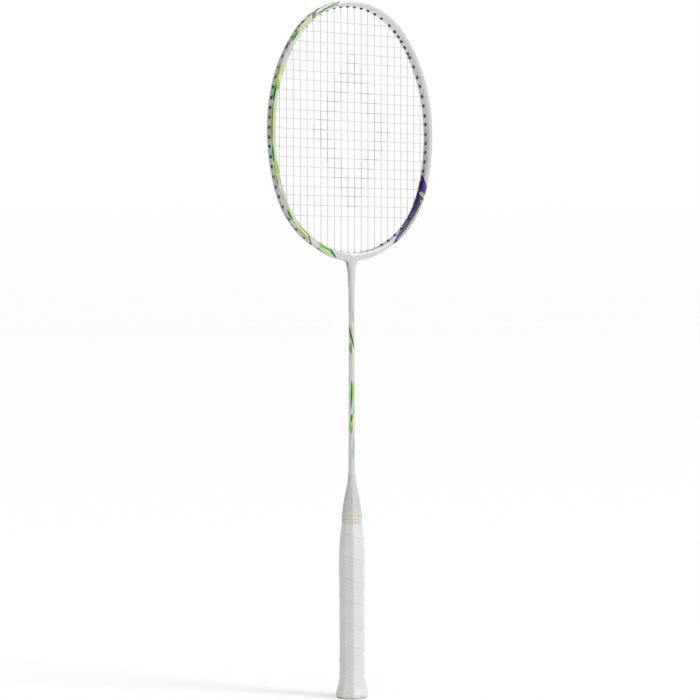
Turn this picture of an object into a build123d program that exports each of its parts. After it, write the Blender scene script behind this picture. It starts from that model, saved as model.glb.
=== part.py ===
from build123d import *
from math import cos, radians, sin, tan
import os

# Badminton racket, standing on its butt. Millimetres.
# Origin: centre of the butt's end face. +Z runs up the shaft, X lies across the head, -Y is the front.

# ---- Overall ----
LENGTH = 675.0

# ---- Head: a closed oval of tangent arcs, symmetric about X = 0 ----
# Radii down one side from the top centre, and the angle from the top at which each arc ends.
# The closing arc under the head takes the radius that brings the two sides together at X = 0.
HEAD_RADII = [75.3, 146.2, 192.8, 131.8]
HEAD_ANGLES = [0.0, 52.2, 81.2, 102.5, 114.1]
TUBE_OUT = 2.5          # tube centreline to its outer crest
TUBE_IN = 2.6           # tube centreline to its inner face
TUBE_DEPTH = 10.2       # front to back
TUBE_CORNER = 1.9
WALL = 0.9
GROOVE_WIDTH = 3.6
GROOVE_DEPTH = 1.1
GROOVE_CORNER = 0.1
CAVITY_CORNER = 1.0
GLUE = 0.05             # gap left for glue or a push fit
DRILL_LENGTH = 10.0     # long enough to go right through the tube

# ---- String bed: mains run up the head, crosses run across it ----
STRING_R = 0.34
MAIN_PITCH = 7.757
MAINS_PER_SIDE = 11
CROSS_HEIGHTS = [
    653.4, 643.3, 633.3, 623.7, 615.0, 604.9, 596.4, 586.5, 577.3, 567.6, 559.1,
    549.6, 540.7, 531.9, 522.6, 513.4, 504.3, 494.8, 486.4, 476.9, 466.8,
]
BED_OFFSET = 0.36       # mains lie this far behind the mid plane, crosses this far in front
# Mains that come out of the same hole as a cross, as {main: cross}, counted from the middle and the top.
SHARED_TOP = {6: 1, 10: 5, 11: 7}
SHARED_BOTTOM = {9: 21, 10: 20, 11: 17}
KNOT_R = 0.95
KNOT_OFFSET = 1.05      # knot centre from the mid plane
BENDS = [(60.0, 0.8), (25.0, 1.5), (0.0, 6.0)]      # (turn in degrees, radius) for turns of more than that
STRAIGHT = 0.4          # degrees of turn that count as none
BEND_SHARE = 0.45       # most of a run that one bend may take up

# ---- Grommets: a barrel through the tube with a flange on the floor of the groove ----
BORE_R = 0.75
BARREL_R = 1.1
HOLE_R = 1.15
FLANGE_R = 1.65
FLANGE_T = 0.3
BARREL_PROUD = 0.9      # how far the barrel stands out of the tube's inner face
SEAT_GAP = 0.02
BORE_CHAMFER = 0.2
GROMMET_EDGE = 0.1
GROMMET_NOSE = 0.3      # length of the bevel on the barrel's end
MOUTH_GAP = 0.25
LOOP_GAP = 0.1

CROWN_Z = 655.0         # heights at which one group of grommets gives way to the next
UPPER_Z = 600.0
LOWER_Z = 510.0
THROAT_Z = 436.5

# ---- Throat ----
JOINT_SPAN = 17.0       # degrees of the closing arc that the T-joint's bar fills on each side
STEM_R = 1.85
STEM_BOTTOM = 392.0
STEM_CHAMFER = 0.4
SEAT_SPAN = 28.0        # degrees of the closing arc that the fairing sits on, on each side
FAIRING_TIP = (33.0, 432.2)        # where the fairing's underside runs out on the tube
FAIRING_BELLY = (20.0, 426.7)
FAIRING_SHOULDER = (6.6, 423.0)
FAIRING_DEPTH = 9.0
NECK_BOTTOM = 395.0
NECK_TOP = 422.0
NECK_BOTTOM_R = 3.2
NECK_TOP_R = 4.25
WEB_X = 3.85            # the fairing's web meets the neck at this half width and height
WEB_Z = 418.0
SLOT_START = 1.5        # degrees from the centre where the fairing's string slot begins
SLOT_END = 26.0
SLOT_WIDTH = 3.5
SLOT_REACH = 9.0        # how far out from the tube's centreline the slot is cut
FAIRING_FILLET = 1.2
NECK_OVERLAP = 3.0      # the neck runs this far up into the fairing

# ---- Shaft ----
SHAFT_R = 3.3
SHAFT_TOP_R = 2.85
SHAFT_BORE_R = 1.9
SHAFT_TOP = 421.0
SHAFT_BOTTOM = 100.0
SHAFT_PROFILE = [(SHAFT_BOTTOM, SHAFT_R), (220.0, SHAFT_R), (340.0, SHAFT_TOP_R), (SHAFT_TOP, SHAFT_TOP_R)]
SHAFT_FIT = 0.02

# ---- Handle: an octagon, written as (width in X, depth in Y, corner cut) for the finished grip ----
GRIP_W = 22.8
GRIP_D = 21.7
GRIP_CUT = 6.15
GRIP_T = 1.8
BUTT_Z = 10.4           # the grip's lower end
FLARE_Z = 17.7          # the flare starts here
TAPER_Z = 150.0         # the grip starts to thin here
CORE_TOP = 166.0
GRIP_TOP = 170.0
TAPE_TOP = 180.5
CONE_SKIRT_TOP = 180.9
CONE_TOP = 218.0
SKIRT_W = 17.3
GRIP_TOP_W = 18.5
TAPE_W = 18.3
FLARE_W = 26.7
BUTT_PROFILE = [(0.0, 24.8), (1.4, 28.4), (4.0, 29.4), (BUTT_Z, FLARE_W)]
CORE_BORE_BOTTOM = 98.0
LIGHTENING_R = 6.0
LIGHTENING_TOP = 70.0
CORE_BOTTOM = 3.0
CONE_PROFILE = [(188.0, 15.4), (195.7, 13.0), (204.4, 9.7), (211.0, 8.0), (CONE_TOP, 7.3)]
PIN_R = 1.0
PIN_LENGTH = 15.0
PIN_Z = 130.0
PIN_CHAMFER = 0.2
BADGE_R = 8.0
BADGE_T = 0.8
TACK_Z = 26.0
TACK_HEAD_R = 2.0
TACK_HEAD_T = 0.5
TACK_SHANK_R = 0.5
TACK_SHANK_L = 5.0

os.makedirs("parts", exist_ok=True)


# ---------------------------------------------------------------- the head's oval
def head_arcs():
    """Arcs of the tube's centreline as (centre x, centre z, radius, start, end), clockwise from the top."""
    steps = [sin(radians(angle)) for angle in HEAD_ANGLES]
    reach = sum(r * (b - a) for r, a, b in zip(HEAD_RADII, steps, steps[1:]))
    radii = HEAD_RADII + [reach / steps[-1]]
    angles = HEAD_ANGLES + [180.0]
    x = 0.0
    z = LENGTH - TUBE_OUT
    right = []
    for radius, start, end in zip(radii, angles, angles[1:]):
        centre_x = x - radius * sin(radians(start))
        centre_z = z - radius * cos(radians(start))
        right.append((centre_x, centre_z, radius, start, end))
        x = centre_x + radius * sin(radians(end))
        z = centre_z + radius * cos(radians(end))
    left = [(-cx, cz, radius, 360.0 - end, 360.0 - start) for cx, cz, radius, start, end in reversed(right)]
    return right + left


ARCS = head_arcs()
BOTTOM_RADIUS = ARCS[len(HEAD_RADII)][2]
BOTTOM_CENTRE_Z = ARCS[len(HEAD_RADII)][1]


def hoop_point(angle, offset):
    """Point (x, z) at an angle from the top, moved outwards from the centreline by offset."""
    angle = angle % 360.0
    for centre_x, centre_z, radius, start, end in ARCS:
        if start <= angle <= end:
            break
    reach = radius + offset
    return centre_x + reach * sin(radians(angle)), centre_z + reach * cos(radians(angle))


def solve_angle(axis, target, offset, low, high):
    """Angle between low and high where the offset oval has the target x (axis 0) or z (axis 1)."""
    rising = hoop_point(high, offset)[axis] > hoop_point(low, offset)[axis]
    for _ in range(50):
        middle = (low + high) / 2
        if (hoop_point(middle, offset)[axis] < target) == rising:
            low = middle
        else:
            high = middle
    return (low + high) / 2


def mirrored(angle):
    """The same place on the other side of the head."""
    return 360.0 - angle


def arc_plane(centre_x, centre_z, angle):
    """Plane across the tube at an angle of an arc: local x points outwards, local y is +Y."""
    outwards = (sin(radians(angle)), 0, cos(radians(angle)))
    along = (-cos(radians(angle)), 0, sin(radians(angle)))
    return Plane(origin=(centre_x, 0, centre_z), x_dir=outwards, z_dir=along)


def hoop_sweep(arcs, inner, outer, depth, corner):
    """A rounded bar from offset inner to offset outer, carried round the given arcs."""
    with BuildPart() as bar:
        for centre_x, centre_z, radius, start, end in arcs:
            with BuildSketch(arc_plane(centre_x, centre_z, start)):
                with Locations((radius + (inner + outer) / 2, 0)):
                    RectangleRounded(outer - inner, depth, corner)
            revolve(axis=Axis((centre_x, 0, centre_z), (0, 1, 0)), revolution_arc=end - start)
    return bar.part


def bottom_arc(start, end):
    """Part of the closing arc, measured in degrees from the bottom centre towards +X."""
    return [(0.0, BOTTOM_CENTRE_Z, BOTTOM_RADIUS, 180.0 - end, 180.0 - start)]


# ---------------------------------------------------------------- string holes
MOUTH = -(TUBE_IN + BARREL_PROUD + MOUTH_GAP)      # a string bends here, just clear of its barrel
FLOOR = TUBE_OUT - GROOVE_DEPTH
LOOP = FLOOR + SEAT_GAP + FLANGE_T + STRING_R + LOOP_GAP

TAIL_END = MOUTH - KNOT_R

main_x = [(i + 0.5) * MAIN_PITCH for i in range(MAINS_PER_SIDE)]
cross_angles = [solve_angle(1, z, MOUTH, 0.0, 180.0) for z in CROSS_HEIGHTS]


def main_holes(sharing, low, high):
    """Hole angle at one end of each main: its own, or that of the cross it shares a hole with."""
    own = [solve_angle(0, x, MOUTH, low, high) for x in main_x]
    return [cross_angles[sharing[i + 1] - 1] if i + 1 in sharing else angle for i, angle in enumerate(own)]


main_top = main_holes(SHARED_TOP, 0.0, 89.0)
main_bottom = main_holes(SHARED_BOTTOM, 91.0, 180.0)
hole_angles = sorted(set(main_top + main_bottom + cross_angles))


def hole_plane(angle):
    """Plane on the tube's centreline whose z axis points straight out of the head."""
    x, z = hoop_point(angle, 0)
    return Plane(origin=(x, 0, z), x_dir=(0, 1, 0), z_dir=(sin(radians(angle)), 0, cos(radians(angle))))


def both_sides(low, high):
    """Planes of every hole whose angle lies between low and high, on the right and on the left."""
    right = [angle for angle in hole_angles if low <= angle < high]
    return [hole_plane(angle) for angle in right] + [hole_plane(mirrored(angle)) for angle in right]


all_holes = both_sides(0.0, 180.0)

# ---------------------------------------------------------------- head frame
tube_skin = hoop_sweep(ARCS, -TUBE_IN, TUBE_OUT, TUBE_DEPTH, TUBE_CORNER)
tube_cavity = hoop_sweep(ARCS, WALL - TUBE_IN, FLOOR - WALL, TUBE_DEPTH - 2 * WALL, CAVITY_CORNER)
tube_groove = hoop_sweep(ARCS, FLOOR, TUBE_OUT + GROOVE_DEPTH, GROOVE_WIDTH, GROOVE_CORNER)

with BuildPart() as head_frame:
    add(tube_skin)
    add(tube_groove, mode=Mode.SUBTRACT)
    add(tube_cavity, mode=Mode.SUBTRACT)
    with Locations(*all_holes):
        Cylinder(HOLE_R, DRILL_LENGTH, mode=Mode.SUBTRACT)
    with Locations((0, 0, BOTTOM_CENTRE_Z - BOTTOM_RADIUS - TUBE_OUT)):
        Cylinder(STEM_R + GLUE, 2 * TUBE_OUT, mode=Mode.SUBTRACT)

# ---------------------------------------------------------------- T-joint inside the throat
joint_bar = hoop_sweep(
    bottom_arc(-JOINT_SPAN, JOINT_SPAN),
    WALL - TUBE_IN + GLUE,
    FLOOR - WALL - GLUE,
    TUBE_DEPTH - 2 * WALL - 2 * GLUE,
    CAVITY_CORNER,
)
bar_mid_z = BOTTOM_CENTRE_Z - BOTTOM_RADIUS

with BuildPart() as t_joint:
    add(joint_bar)
    with Locations((0, 0, STEM_BOTTOM)):
        Cylinder(STEM_R, bar_mid_z - STEM_BOTTOM, align=(Align.CENTER, Align.CENTER, Align.MIN))
    with Locations(*both_sides(180.0 - JOINT_SPAN, 180.0)):
        Cylinder(HOLE_R, DRILL_LENGTH, mode=Mode.SUBTRACT)
    stem_end = t_joint.edges().filter_by(GeomType.CIRCLE).sort_by(Axis.Z)[0]
    chamfer(stem_end, length=STEM_CHAMFER)

# ---------------------------------------------------------------- throat fairing
seat_arc = bottom_arc(-SEAT_SPAN, SEAT_SPAN)
seat = hoop_sweep(seat_arc, -TUBE_IN - GLUE, TUBE_OUT + GLUE, TUBE_DEPTH + GLUE, TUBE_CORNER)
slot_right = hoop_sweep(bottom_arc(SLOT_START, SLOT_END), 0.0, SLOT_REACH, SLOT_WIDTH, GROOVE_CORNER)
slot_left = hoop_sweep(bottom_arc(-SLOT_END, -SLOT_START), 0.0, SLOT_REACH, SLOT_WIDTH, GROOVE_CORNER)

with BuildPart() as throat_fairing:
    with BuildSketch(Plane.XZ):
        with BuildLine():
            Polyline((0, bar_mid_z), FAIRING_TIP)
            ThreePointArc(FAIRING_TIP, FAIRING_BELLY, FAIRING_SHOULDER)
            Polyline(FAIRING_SHOULDER, (WEB_X, WEB_Z), (0, WEB_Z))
            mirror(about=Plane.YZ)
        make_face()
    extrude(amount=FAIRING_DEPTH / 2, both=True)
    long_edges = throat_fairing.faces().filter_by(Plane.XZ).edges()
    underside = long_edges.filter_by(lambda edge: FAIRING_SHOULDER[1] < edge.center().Z < bar_mid_z)
    fillet(underside.filter_by(GeomType.CIRCLE), radius=FAIRING_FILLET)
    with BuildSketch(Plane.XZ):
        with BuildLine():
            Polyline(
                (0, NECK_BOTTOM),
                (NECK_BOTTOM_R, NECK_BOTTOM),
                (NECK_TOP_R, NECK_TOP),
                (NECK_TOP_R, NECK_TOP + NECK_OVERLAP),
                (0, NECK_TOP + NECK_OVERLAP),
                close=True,
            )
        make_face()
    revolve(axis=Axis.Z)
    add(seat, mode=Mode.SUBTRACT)
    add(slot_right, mode=Mode.SUBTRACT)
    add(slot_left, mode=Mode.SUBTRACT)
    with Locations((0, 0, NECK_BOTTOM)):
        Cylinder(
            SHAFT_TOP_R + SHAFT_FIT,
            SHAFT_TOP + SHAFT_FIT - NECK_BOTTOM,
            align=(Align.CENTER, Align.CENTER, Align.MIN),
            mode=Mode.SUBTRACT,
        )
        Cylinder(
            STEM_R + GLUE,
            BOTTOM_CENTRE_Z - NECK_BOTTOM,
            align=(Align.CENTER, Align.CENTER, Align.MIN),
            mode=Mode.SUBTRACT,
        )

# ---------------------------------------------------------------- shaft
with BuildPart() as shaft:
    with BuildSketch(Plane.XZ):
        with BuildLine():
            Polyline(
                (SHAFT_BORE_R, SHAFT_BOTTOM),
                *[(radius, z) for z, radius in SHAFT_PROFILE],
                (SHAFT_BORE_R, SHAFT_TOP),
                close=True,
            )
        make_face()
    revolve(axis=Axis.Z)
    with Locations(Plane(origin=(0, 0, PIN_Z), z_dir=(0, 1, 0))):
        Cylinder(PIN_R + SHAFT_FIT, 4 * SHAFT_R, mode=Mode.SUBTRACT)


# ---------------------------------------------------------------- grommets
def grommet_body():
    """One grommet about the origin, its bore along Z and its flange towards +Z."""
    bottom = -(TUBE_IN + BARREL_PROUD)
    seat_z = FLOOR + SEAT_GAP
    top = seat_z + FLANGE_T
    with BuildPart() as body:
        with BuildSketch(Plane.XZ):
            with BuildLine():
                Polyline(
                    (BORE_R, bottom),
                    (BARREL_R - GROMMET_EDGE, bottom),
                    (BARREL_R, bottom + GROMMET_NOSE),
                    (BARREL_R, seat_z),
                    (FLANGE_R, seat_z),
                    (FLANGE_R, top - GROMMET_EDGE),
                    (FLANGE_R - GROMMET_EDGE, top),
                    (BORE_R + BORE_CHAMFER, top),
                    (BORE_R, top - BORE_CHAMFER),
                    close=True,
                )
            make_face()
        revolve(axis=Axis.Z)
    return body.part


grommet = grommet_body()
right_holes = [hole_plane(angle) for angle in hole_angles]
left_holes = [hole_plane(mirrored(angle)) for angle in hole_angles]


def between(planes, low, high):
    """The planes whose hole lies between two heights."""
    return [plane for plane in planes if low <= plane.origin.Z < high]


grommet_sets = {
    "grommets_crown": between(right_holes + left_holes, CROWN_Z, LENGTH),
    "grommets_upper_left": between(left_holes, UPPER_Z, CROWN_Z),
    "grommets_upper_right": between(right_holes, UPPER_Z, CROWN_Z),
    "grommets_side_left": between(left_holes, LOWER_Z, UPPER_Z),
    "grommets_side_right": between(right_holes, LOWER_Z, UPPER_Z),
    "grommets_lower_left": between(left_holes, THROAT_Z, LOWER_Z),
    "grommets_lower_right": between(right_holes, THROAT_Z, LOWER_Z),
    "grommets_throat": between(right_holes + left_holes, 0.0, THROAT_Z),
}
for name, planes in grommet_sets.items():
    with BuildPart() as grommets:
        with Locations(*planes):
            add(grommet)
    grommets.part.label = name
    export_step(grommets.part, f"parts/{name}.step")
    print(name, len(planes))


# ---------------------------------------------------------------- strings
def string_corners(stops):
    """Corner points (x, z) of a string that visits (angle, offset) or (x, z, None) stops in turn."""
    corners = []
    for stop in stops:
        corners.append(stop[:2] if len(stop) == 3 else hoop_point(*stop))
    return corners


def string_radii(corners):
    """Largest tidy bend for each corner: tight at the groove, wide where the string hardly turns."""
    radii = []
    for before, here, after in zip(corners, corners[1:], corners[2:]):
        one = Vector(here[0] - before[0], here[1] - before[1])
        two = Vector(after[0] - here[0], after[1] - here[1])
        turn = one.get_angle(two)
        limit = BEND_SHARE * min(one.length, two.length) / tan(radians(turn) / 2)
        wanted = next(radius for least, radius in BENDS if turn > least)
        radii.append(min(limit, wanted))
    return radii


def without_straights(corners):
    """Drops each corner that the string passes without turning."""
    kept = [corners[0]]
    for here, after in zip(corners[1:], corners[2:]):
        one = Vector(here[0] - kept[-1][0], here[1] - kept[-1][1])
        two = Vector(after[0] - here[0], after[1] - here[1])
        if one.get_angle(two) > STRAIGHT:
            kept.append(here)
    return kept + [corners[-1]]


def groove_stops(start, end):
    """Stops along the groove from one hole to another, with one over each hole passed on the way."""
    low, high = sorted((start, end))
    angles = hole_angles + [mirrored(angle) for angle in hole_angles]
    passed = [angle for angle in angles if low + 0.1 < angle < high - 0.1]
    passed.sort(reverse=start > end)
    return [(angle, LOOP) for angle in [start] + passed + [end]]


def top_loop(start, end):
    """A loop over the top, where the angle passes through zero."""
    stops = [(start % 360.0, LOOP), (end % 360.0, LOOP)]
    return [(start % 360.0, MOUTH)] + stops + [(end % 360.0, MOUTH)]


def groove_loop(start, end):
    """Out through one hole, along the groove and back in through another."""
    return [(start, MOUTH)] + groove_stops(start, end) + [(end, MOUTH)]


def string_body(stops, offset, knots):
    """A string of constant section along its stops, in the plane Y = offset, with a knot at each end."""
    corners = without_straights(string_corners(stops))
    radii = string_radii(corners)
    path_plane = Plane(origin=(0, offset, 0), x_dir=(1, 0, 0), z_dir=(0, -1, 0))
    with BuildPart() as body:
        with BuildLine(path_plane) as route:
            FilletPolyline(*corners, radius=radii)
        with BuildSketch(Plane(origin=route.wire() @ 0, z_dir=route.wire() % 0)):
            Circle(STRING_R)
        sweep(path=route.wire())
        with Locations(*knots):
            Sphere(KNOT_R)
    return body.part, route.wire().length


def end_knot(angle, side):
    """Centre of a knot that sits just inside the mouth of a hole, on the front (-1) or back (+1)."""
    x, z = hoop_point(angle, TAIL_END)
    return (x, side * KNOT_OFFSET, z)


def kinks(index):
    """Where a main leaves its straight run for a hole that it shares, at its last crossing, top first."""
    heights = []
    if index + 1 in SHARED_TOP:
        heights.append(CROSS_HEIGHTS[SHARED_TOP[index + 1]])
    if index + 1 in SHARED_BOTTOM:
        heights.append(CROSS_HEIGHTS[SHARED_BOTTOM[index + 1] - 2])
    return [(main_x[index], height, None) for height in heights]


def main_stops():
    """Stops of the mains: out from the middle to the right, mirrored for the left, with both tails."""
    half = []
    for index in range(MAINS_PER_SIDE):
        downwards = index % 2 == 0
        half += kinks(index) if downwards else kinks(index)[::-1]
        if index + 1 < MAINS_PER_SIDE:
            ends = main_bottom if downwards else main_top
            half += groove_loop(ends[index], ends[index + 1])
    tail_out = main_bottom[-1]
    tail_in = cross_angles[SHARED_BOTTOM[MAINS_PER_SIDE]]
    half += [(tail_out, MOUTH), (tail_out, LOOP), (tail_in, LOOP), (tail_in, TAIL_END)]
    other = [(-stop[0], stop[1], None) if len(stop) == 3 else (mirrored(stop[0]), stop[1]) for stop in half]
    return other[::-1] + top_loop(mirrored(main_top[0]), main_top[0]) + half, tail_in


def cross_stops():
    """Stops of the crosses: back and forth from the top to the bottom."""
    tail_start = mirrored(main_top[6])
    first = mirrored(cross_angles[0])
    stops = [(tail_start, TAIL_END), (tail_start, LOOP), (first, LOOP), (first, MOUTH)]
    for index in range(len(cross_angles) - 1):
        here, after = cross_angles[index], cross_angles[index + 1]
        if index % 2 == 0:
            stops += groove_loop(here, after)
        else:
            stops += groove_loop(mirrored(here), mirrored(after))
    last = cross_angles[-1]
    tail_end = main_bottom[7]
    stops += [(last, MOUTH), (last, LOOP), (tail_end, LOOP), (tail_end, TAIL_END)]
    return stops, tail_start, tail_end


stops, main_tail = main_stops()
main_knots = [end_knot(main_tail, 1), end_knot(mirrored(main_tail), 1)]
main_body, main_length = string_body(stops, BED_OFFSET, main_knots)
stops, cross_tail_start, cross_tail_end = cross_stops()
cross_knots = [end_knot(cross_tail_start, -1), end_knot(cross_tail_end, -1)]
cross_body, cross_length = string_body(stops, -BED_OFFSET, cross_knots)
print("main string", round(main_length), "mm, cross string", round(cross_length), "mm")


# ---------------------------------------------------------------- handle
def octagon(z, width, thin=0.0):
    """The handle's octagon at height z for a grip of this width, made smaller all round by thin."""
    ratio = width / GRIP_W
    with BuildSketch(Plane.XY.offset(z), mode=Mode.PRIVATE) as outline:
        Rectangle(width - 2 * thin, GRIP_D * ratio - 2 * thin)
        chamfer(outline.vertices(), length=GRIP_CUT * ratio - (2.0 - 2.0 ** 0.5) * thin)
    return outline.sketch


def octagon_body(levels, thin=0.0):
    """A stack of octagons (z, width) joined by flat facets."""
    with BuildPart() as body:
        loft(sections=[octagon(z, width, thin) for z, width in levels], ruled=True)
    return body.part


core_w = GRIP_W - 2 * GRIP_T
core_flare_w = FLARE_W - 2 * GRIP_T
core_levels = [
    (CORE_BOTTOM, core_flare_w),
    (BUTT_Z, core_flare_w),
    (FLARE_Z, core_w),
    (TAPER_Z, core_w),
    (CORE_TOP, SKIRT_W),
]
core_solid = octagon_body(core_levels)
grip_levels = [
    (BUTT_Z, FLARE_W),
    (FLARE_Z, GRIP_W),
    (TAPER_Z, GRIP_W),
    (CORE_TOP, GRIP_TOP_W),
    (GRIP_TOP, GRIP_TOP_W),
]
grip_solid = octagon_body(grip_levels)
grip_inner = octagon_body(core_levels[1:] + [(GRIP_TOP, SKIRT_W)], thin=-GLUE)
cone_solid = octagon_body([(CORE_TOP, SKIRT_W), (CONE_SKIRT_TOP, SKIRT_W)] + CONE_PROFILE)
butt_solid = octagon_body(BUTT_PROFILE)
butt_hollow = octagon_body(core_levels[:2], thin=-GLUE)
tape_solid = octagon_body([(GRIP_TOP, TAPE_W), (TAPE_TOP, TAPE_W)])
tape_hollow = octagon_body([(GRIP_TOP, SKIRT_W), (TAPE_TOP, SKIRT_W)], thin=-GLUE)
tack_y = core_w * GRIP_D / GRIP_W / 2
tack_plane = Plane(origin=(0, tack_y, TACK_Z), x_dir=(1, 0, 0), z_dir=(0, 1, 0))

with BuildPart() as handle_core:
    add(core_solid)
    with Locations((0, 0, CORE_BORE_BOTTOM)):
        Cylinder(
            SHAFT_R + GLUE,
            CORE_TOP - CORE_BORE_BOTTOM,
            align=(Align.CENTER, Align.CENTER, Align.MIN),
            mode=Mode.SUBTRACT,
        )
    with Locations((0, 0, CORE_BOTTOM)):
        Cylinder(
            LIGHTENING_R,
            LIGHTENING_TOP - CORE_BOTTOM,
            align=(Align.CENTER, Align.CENTER, Align.MIN),
            mode=Mode.SUBTRACT,
        )
    with Locations(Plane(origin=(0, 0, PIN_Z), z_dir=(0, 1, 0))):
        Cylinder(PIN_R + SHAFT_FIT, 2 * GRIP_D, mode=Mode.SUBTRACT)
    with Locations(tack_plane):
        Cylinder(
            TACK_SHANK_R + SHAFT_FIT,
            TACK_SHANK_L + GLUE,
            align=(Align.CENTER, Align.CENTER, Align.MAX),
            mode=Mode.SUBTRACT,
        )

with BuildPart() as handle_cone:
    add(cone_solid)
    with Locations((0, 0, CORE_TOP)):
        Cylinder(
            SHAFT_R + SHAFT_FIT,
            CONE_TOP - CORE_TOP,
            align=(Align.CENTER, Align.CENTER, Align.MIN),
            mode=Mode.SUBTRACT,
        )

with BuildPart() as shaft_pin:
    with Locations(Plane(origin=(0, 0, PIN_Z), z_dir=(0, 1, 0))):
        Cylinder(PIN_R, PIN_LENGTH)
    chamfer(shaft_pin.edges().filter_by(GeomType.CIRCLE), length=PIN_CHAMFER)

with BuildPart() as grip_tack:
    with Locations(tack_plane):
        Cylinder(TACK_HEAD_R, TACK_HEAD_T, align=(Align.CENTER, Align.CENTER, Align.MIN))
        Cylinder(TACK_SHANK_R, TACK_SHANK_L, align=(Align.CENTER, Align.CENTER, Align.MAX))

with BuildPart() as grip_wrap:
    add(grip_solid)
    add(grip_inner, mode=Mode.SUBTRACT)
    with Locations(tack_plane):
        Cylinder(
            TACK_HEAD_R + GLUE,
            TACK_HEAD_T + GLUE,
            align=(Align.CENTER, Align.CENTER, Align.MIN),
            mode=Mode.SUBTRACT,
        )

with BuildPart() as finishing_tape:
    add(tape_solid)
    add(tape_hollow, mode=Mode.SUBTRACT)

with BuildPart() as butt_cap:
    add(butt_solid)
    add(butt_hollow, mode=Mode.SUBTRACT)
    Cylinder(
        BADGE_R + GLUE,
        BADGE_T,
        align=(Align.CENTER, Align.CENTER, Align.MIN),
        mode=Mode.SUBTRACT,
    )

with BuildPart() as butt_badge:
    Cylinder(BADGE_R, BADGE_T, align=(Align.CENTER, Align.CENTER, Align.MIN))

# ---------------------------------------------------------------- files
pieces = {
    "head_frame": head_frame.part,
    "t_joint": t_joint.part,
    "throat_fairing": throat_fairing.part,
    "shaft": shaft.part,
    "handle_cone": handle_cone.part,
    "handle_core": handle_core.part,
    "shaft_pin": shaft_pin.part,
    "grip_wrap": grip_wrap.part,
    "grip_tack": grip_tack.part,
    "finishing_tape": finishing_tape.part,
    "butt_cap": butt_cap.part,
    "butt_badge": butt_badge.part,
    "main_string": main_body,
    "cross_string": cross_body,
}
for name, body in pieces.items():
    body.label = name
    export_step(body, f"parts/{name}.step")
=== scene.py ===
from math import atan2, cos, hypot, pi, radians, sin

import bpy
import numpy as np
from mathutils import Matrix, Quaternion, Vector


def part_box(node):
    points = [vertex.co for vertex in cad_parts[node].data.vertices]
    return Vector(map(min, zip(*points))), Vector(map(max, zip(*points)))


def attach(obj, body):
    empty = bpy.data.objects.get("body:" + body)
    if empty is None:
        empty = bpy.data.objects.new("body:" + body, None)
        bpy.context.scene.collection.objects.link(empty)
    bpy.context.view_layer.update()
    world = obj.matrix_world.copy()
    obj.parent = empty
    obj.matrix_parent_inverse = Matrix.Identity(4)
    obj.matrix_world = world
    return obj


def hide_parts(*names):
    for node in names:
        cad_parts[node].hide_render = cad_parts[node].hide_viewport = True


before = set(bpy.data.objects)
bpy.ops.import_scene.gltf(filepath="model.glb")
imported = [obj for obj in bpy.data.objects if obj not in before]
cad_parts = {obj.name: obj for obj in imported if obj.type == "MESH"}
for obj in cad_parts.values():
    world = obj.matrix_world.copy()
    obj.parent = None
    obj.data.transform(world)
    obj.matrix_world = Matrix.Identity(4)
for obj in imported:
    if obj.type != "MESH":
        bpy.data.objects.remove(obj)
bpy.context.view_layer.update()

# Badminton racket. Shapes are worked out in millimetres in the CAD frame and scaled when a mesh is made:
# +Z runs up the shaft, X lies across the head and -Y is the front.
MM = 0.001


def node_box(name):
    """Lowest and highest corners of a CAD node in millimetres."""
    low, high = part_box(name)
    return low / MM, high / MM


# ---- Sizes, in millimetres ----
HEAD_TOP = node_box("head_frame")[1].z
# Arcs of the head's oval down one side from the top, and the angles from the top where they start and end.
# The closing arc brings the two sides together under the head.
HEAD_RADII = [75.3, 146.2, 192.8, 131.8]
HEAD_ANGLES = [0.0, 52.2, 81.2, 102.5, 114.1]
TUBE_OUT = 2.5           # centreline to outer crest
TUBE_IN = 2.6            # centreline to inner face
TUBE_DEPTH = 10.2        # front to back
TUBE_CORNER = 1.9
GROOVE_WIDTH = 4.1
GROOVE_DEPTH = 1.1
GROOVE_LIP = 0.4         # radius of the groove's edges
GROOVE_CORNER = 0.12     # radius in its floor's corners
HOOP_STEP = 1.6          # mesh spacing along the head

STRING_R = 0.34
MAIN_PITCH = 7.757
MAINS_PER_SIDE = 11
CROSS_HEIGHTS = [
    653.4, 643.3, 633.3, 623.7, 615.0, 604.9, 596.4, 586.5, 577.3, 567.6, 559.1,
    549.6, 540.7, 531.9, 522.6, 513.4, 504.3, 494.8, 486.4, 476.9, 466.8,
]
BED_OFFSET = 0.36        # mains lie this far behind the mid plane in the groove, crosses this far in front
MAIN_WAVE = 0.1          # the taut mains hardly bend, and the crosses go round them
CROSS_WAVE = 0.6
# Mains that come out of the same hole as a cross, as {main: cross}, counted from the middle and the top.
SHARED_TOP = {6: 1, 10: 5, 11: 7}
SHARED_BOTTOM = {9: 21, 10: 20, 11: 17}
KNOT_OFFSET = 1.05       # knot centre from the mid plane

BORE_R = 0.75
BARREL_R = 1.1
FLANGE_R = 1.98          # across the groove
FLANGE_ALONG = 1.6       # along it
FLANGE_T = 0.3
BARREL_PROUD = 0.9       # the barrel stands this far out of the tube's inner face, and the mouth gap more
SEAT_GAP = 0.02
MOUTH_GAP = 0.25
LOOP_GAP = 0.1
FLOOR = TUBE_OUT - GROOVE_DEPTH
MOUTH = -(TUBE_IN + BARREL_PROUD + MOUTH_GAP)
LOOP = FLOOR + SEAT_GAP + FLANGE_T + STRING_R + LOOP_GAP

NECK_BOTTOM = node_box("throat_fairing")[0].z
SHAFT_KNOTS = [(100.0, 3.3), (220.0, 3.3), (340.0, 2.85), (421.0, 2.85)]      # (height, radius)
SHAFT_BORE_R = 1.9
SHAFT_ART_R = 3.1        # radius at which the shaft's artwork is measured
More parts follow.
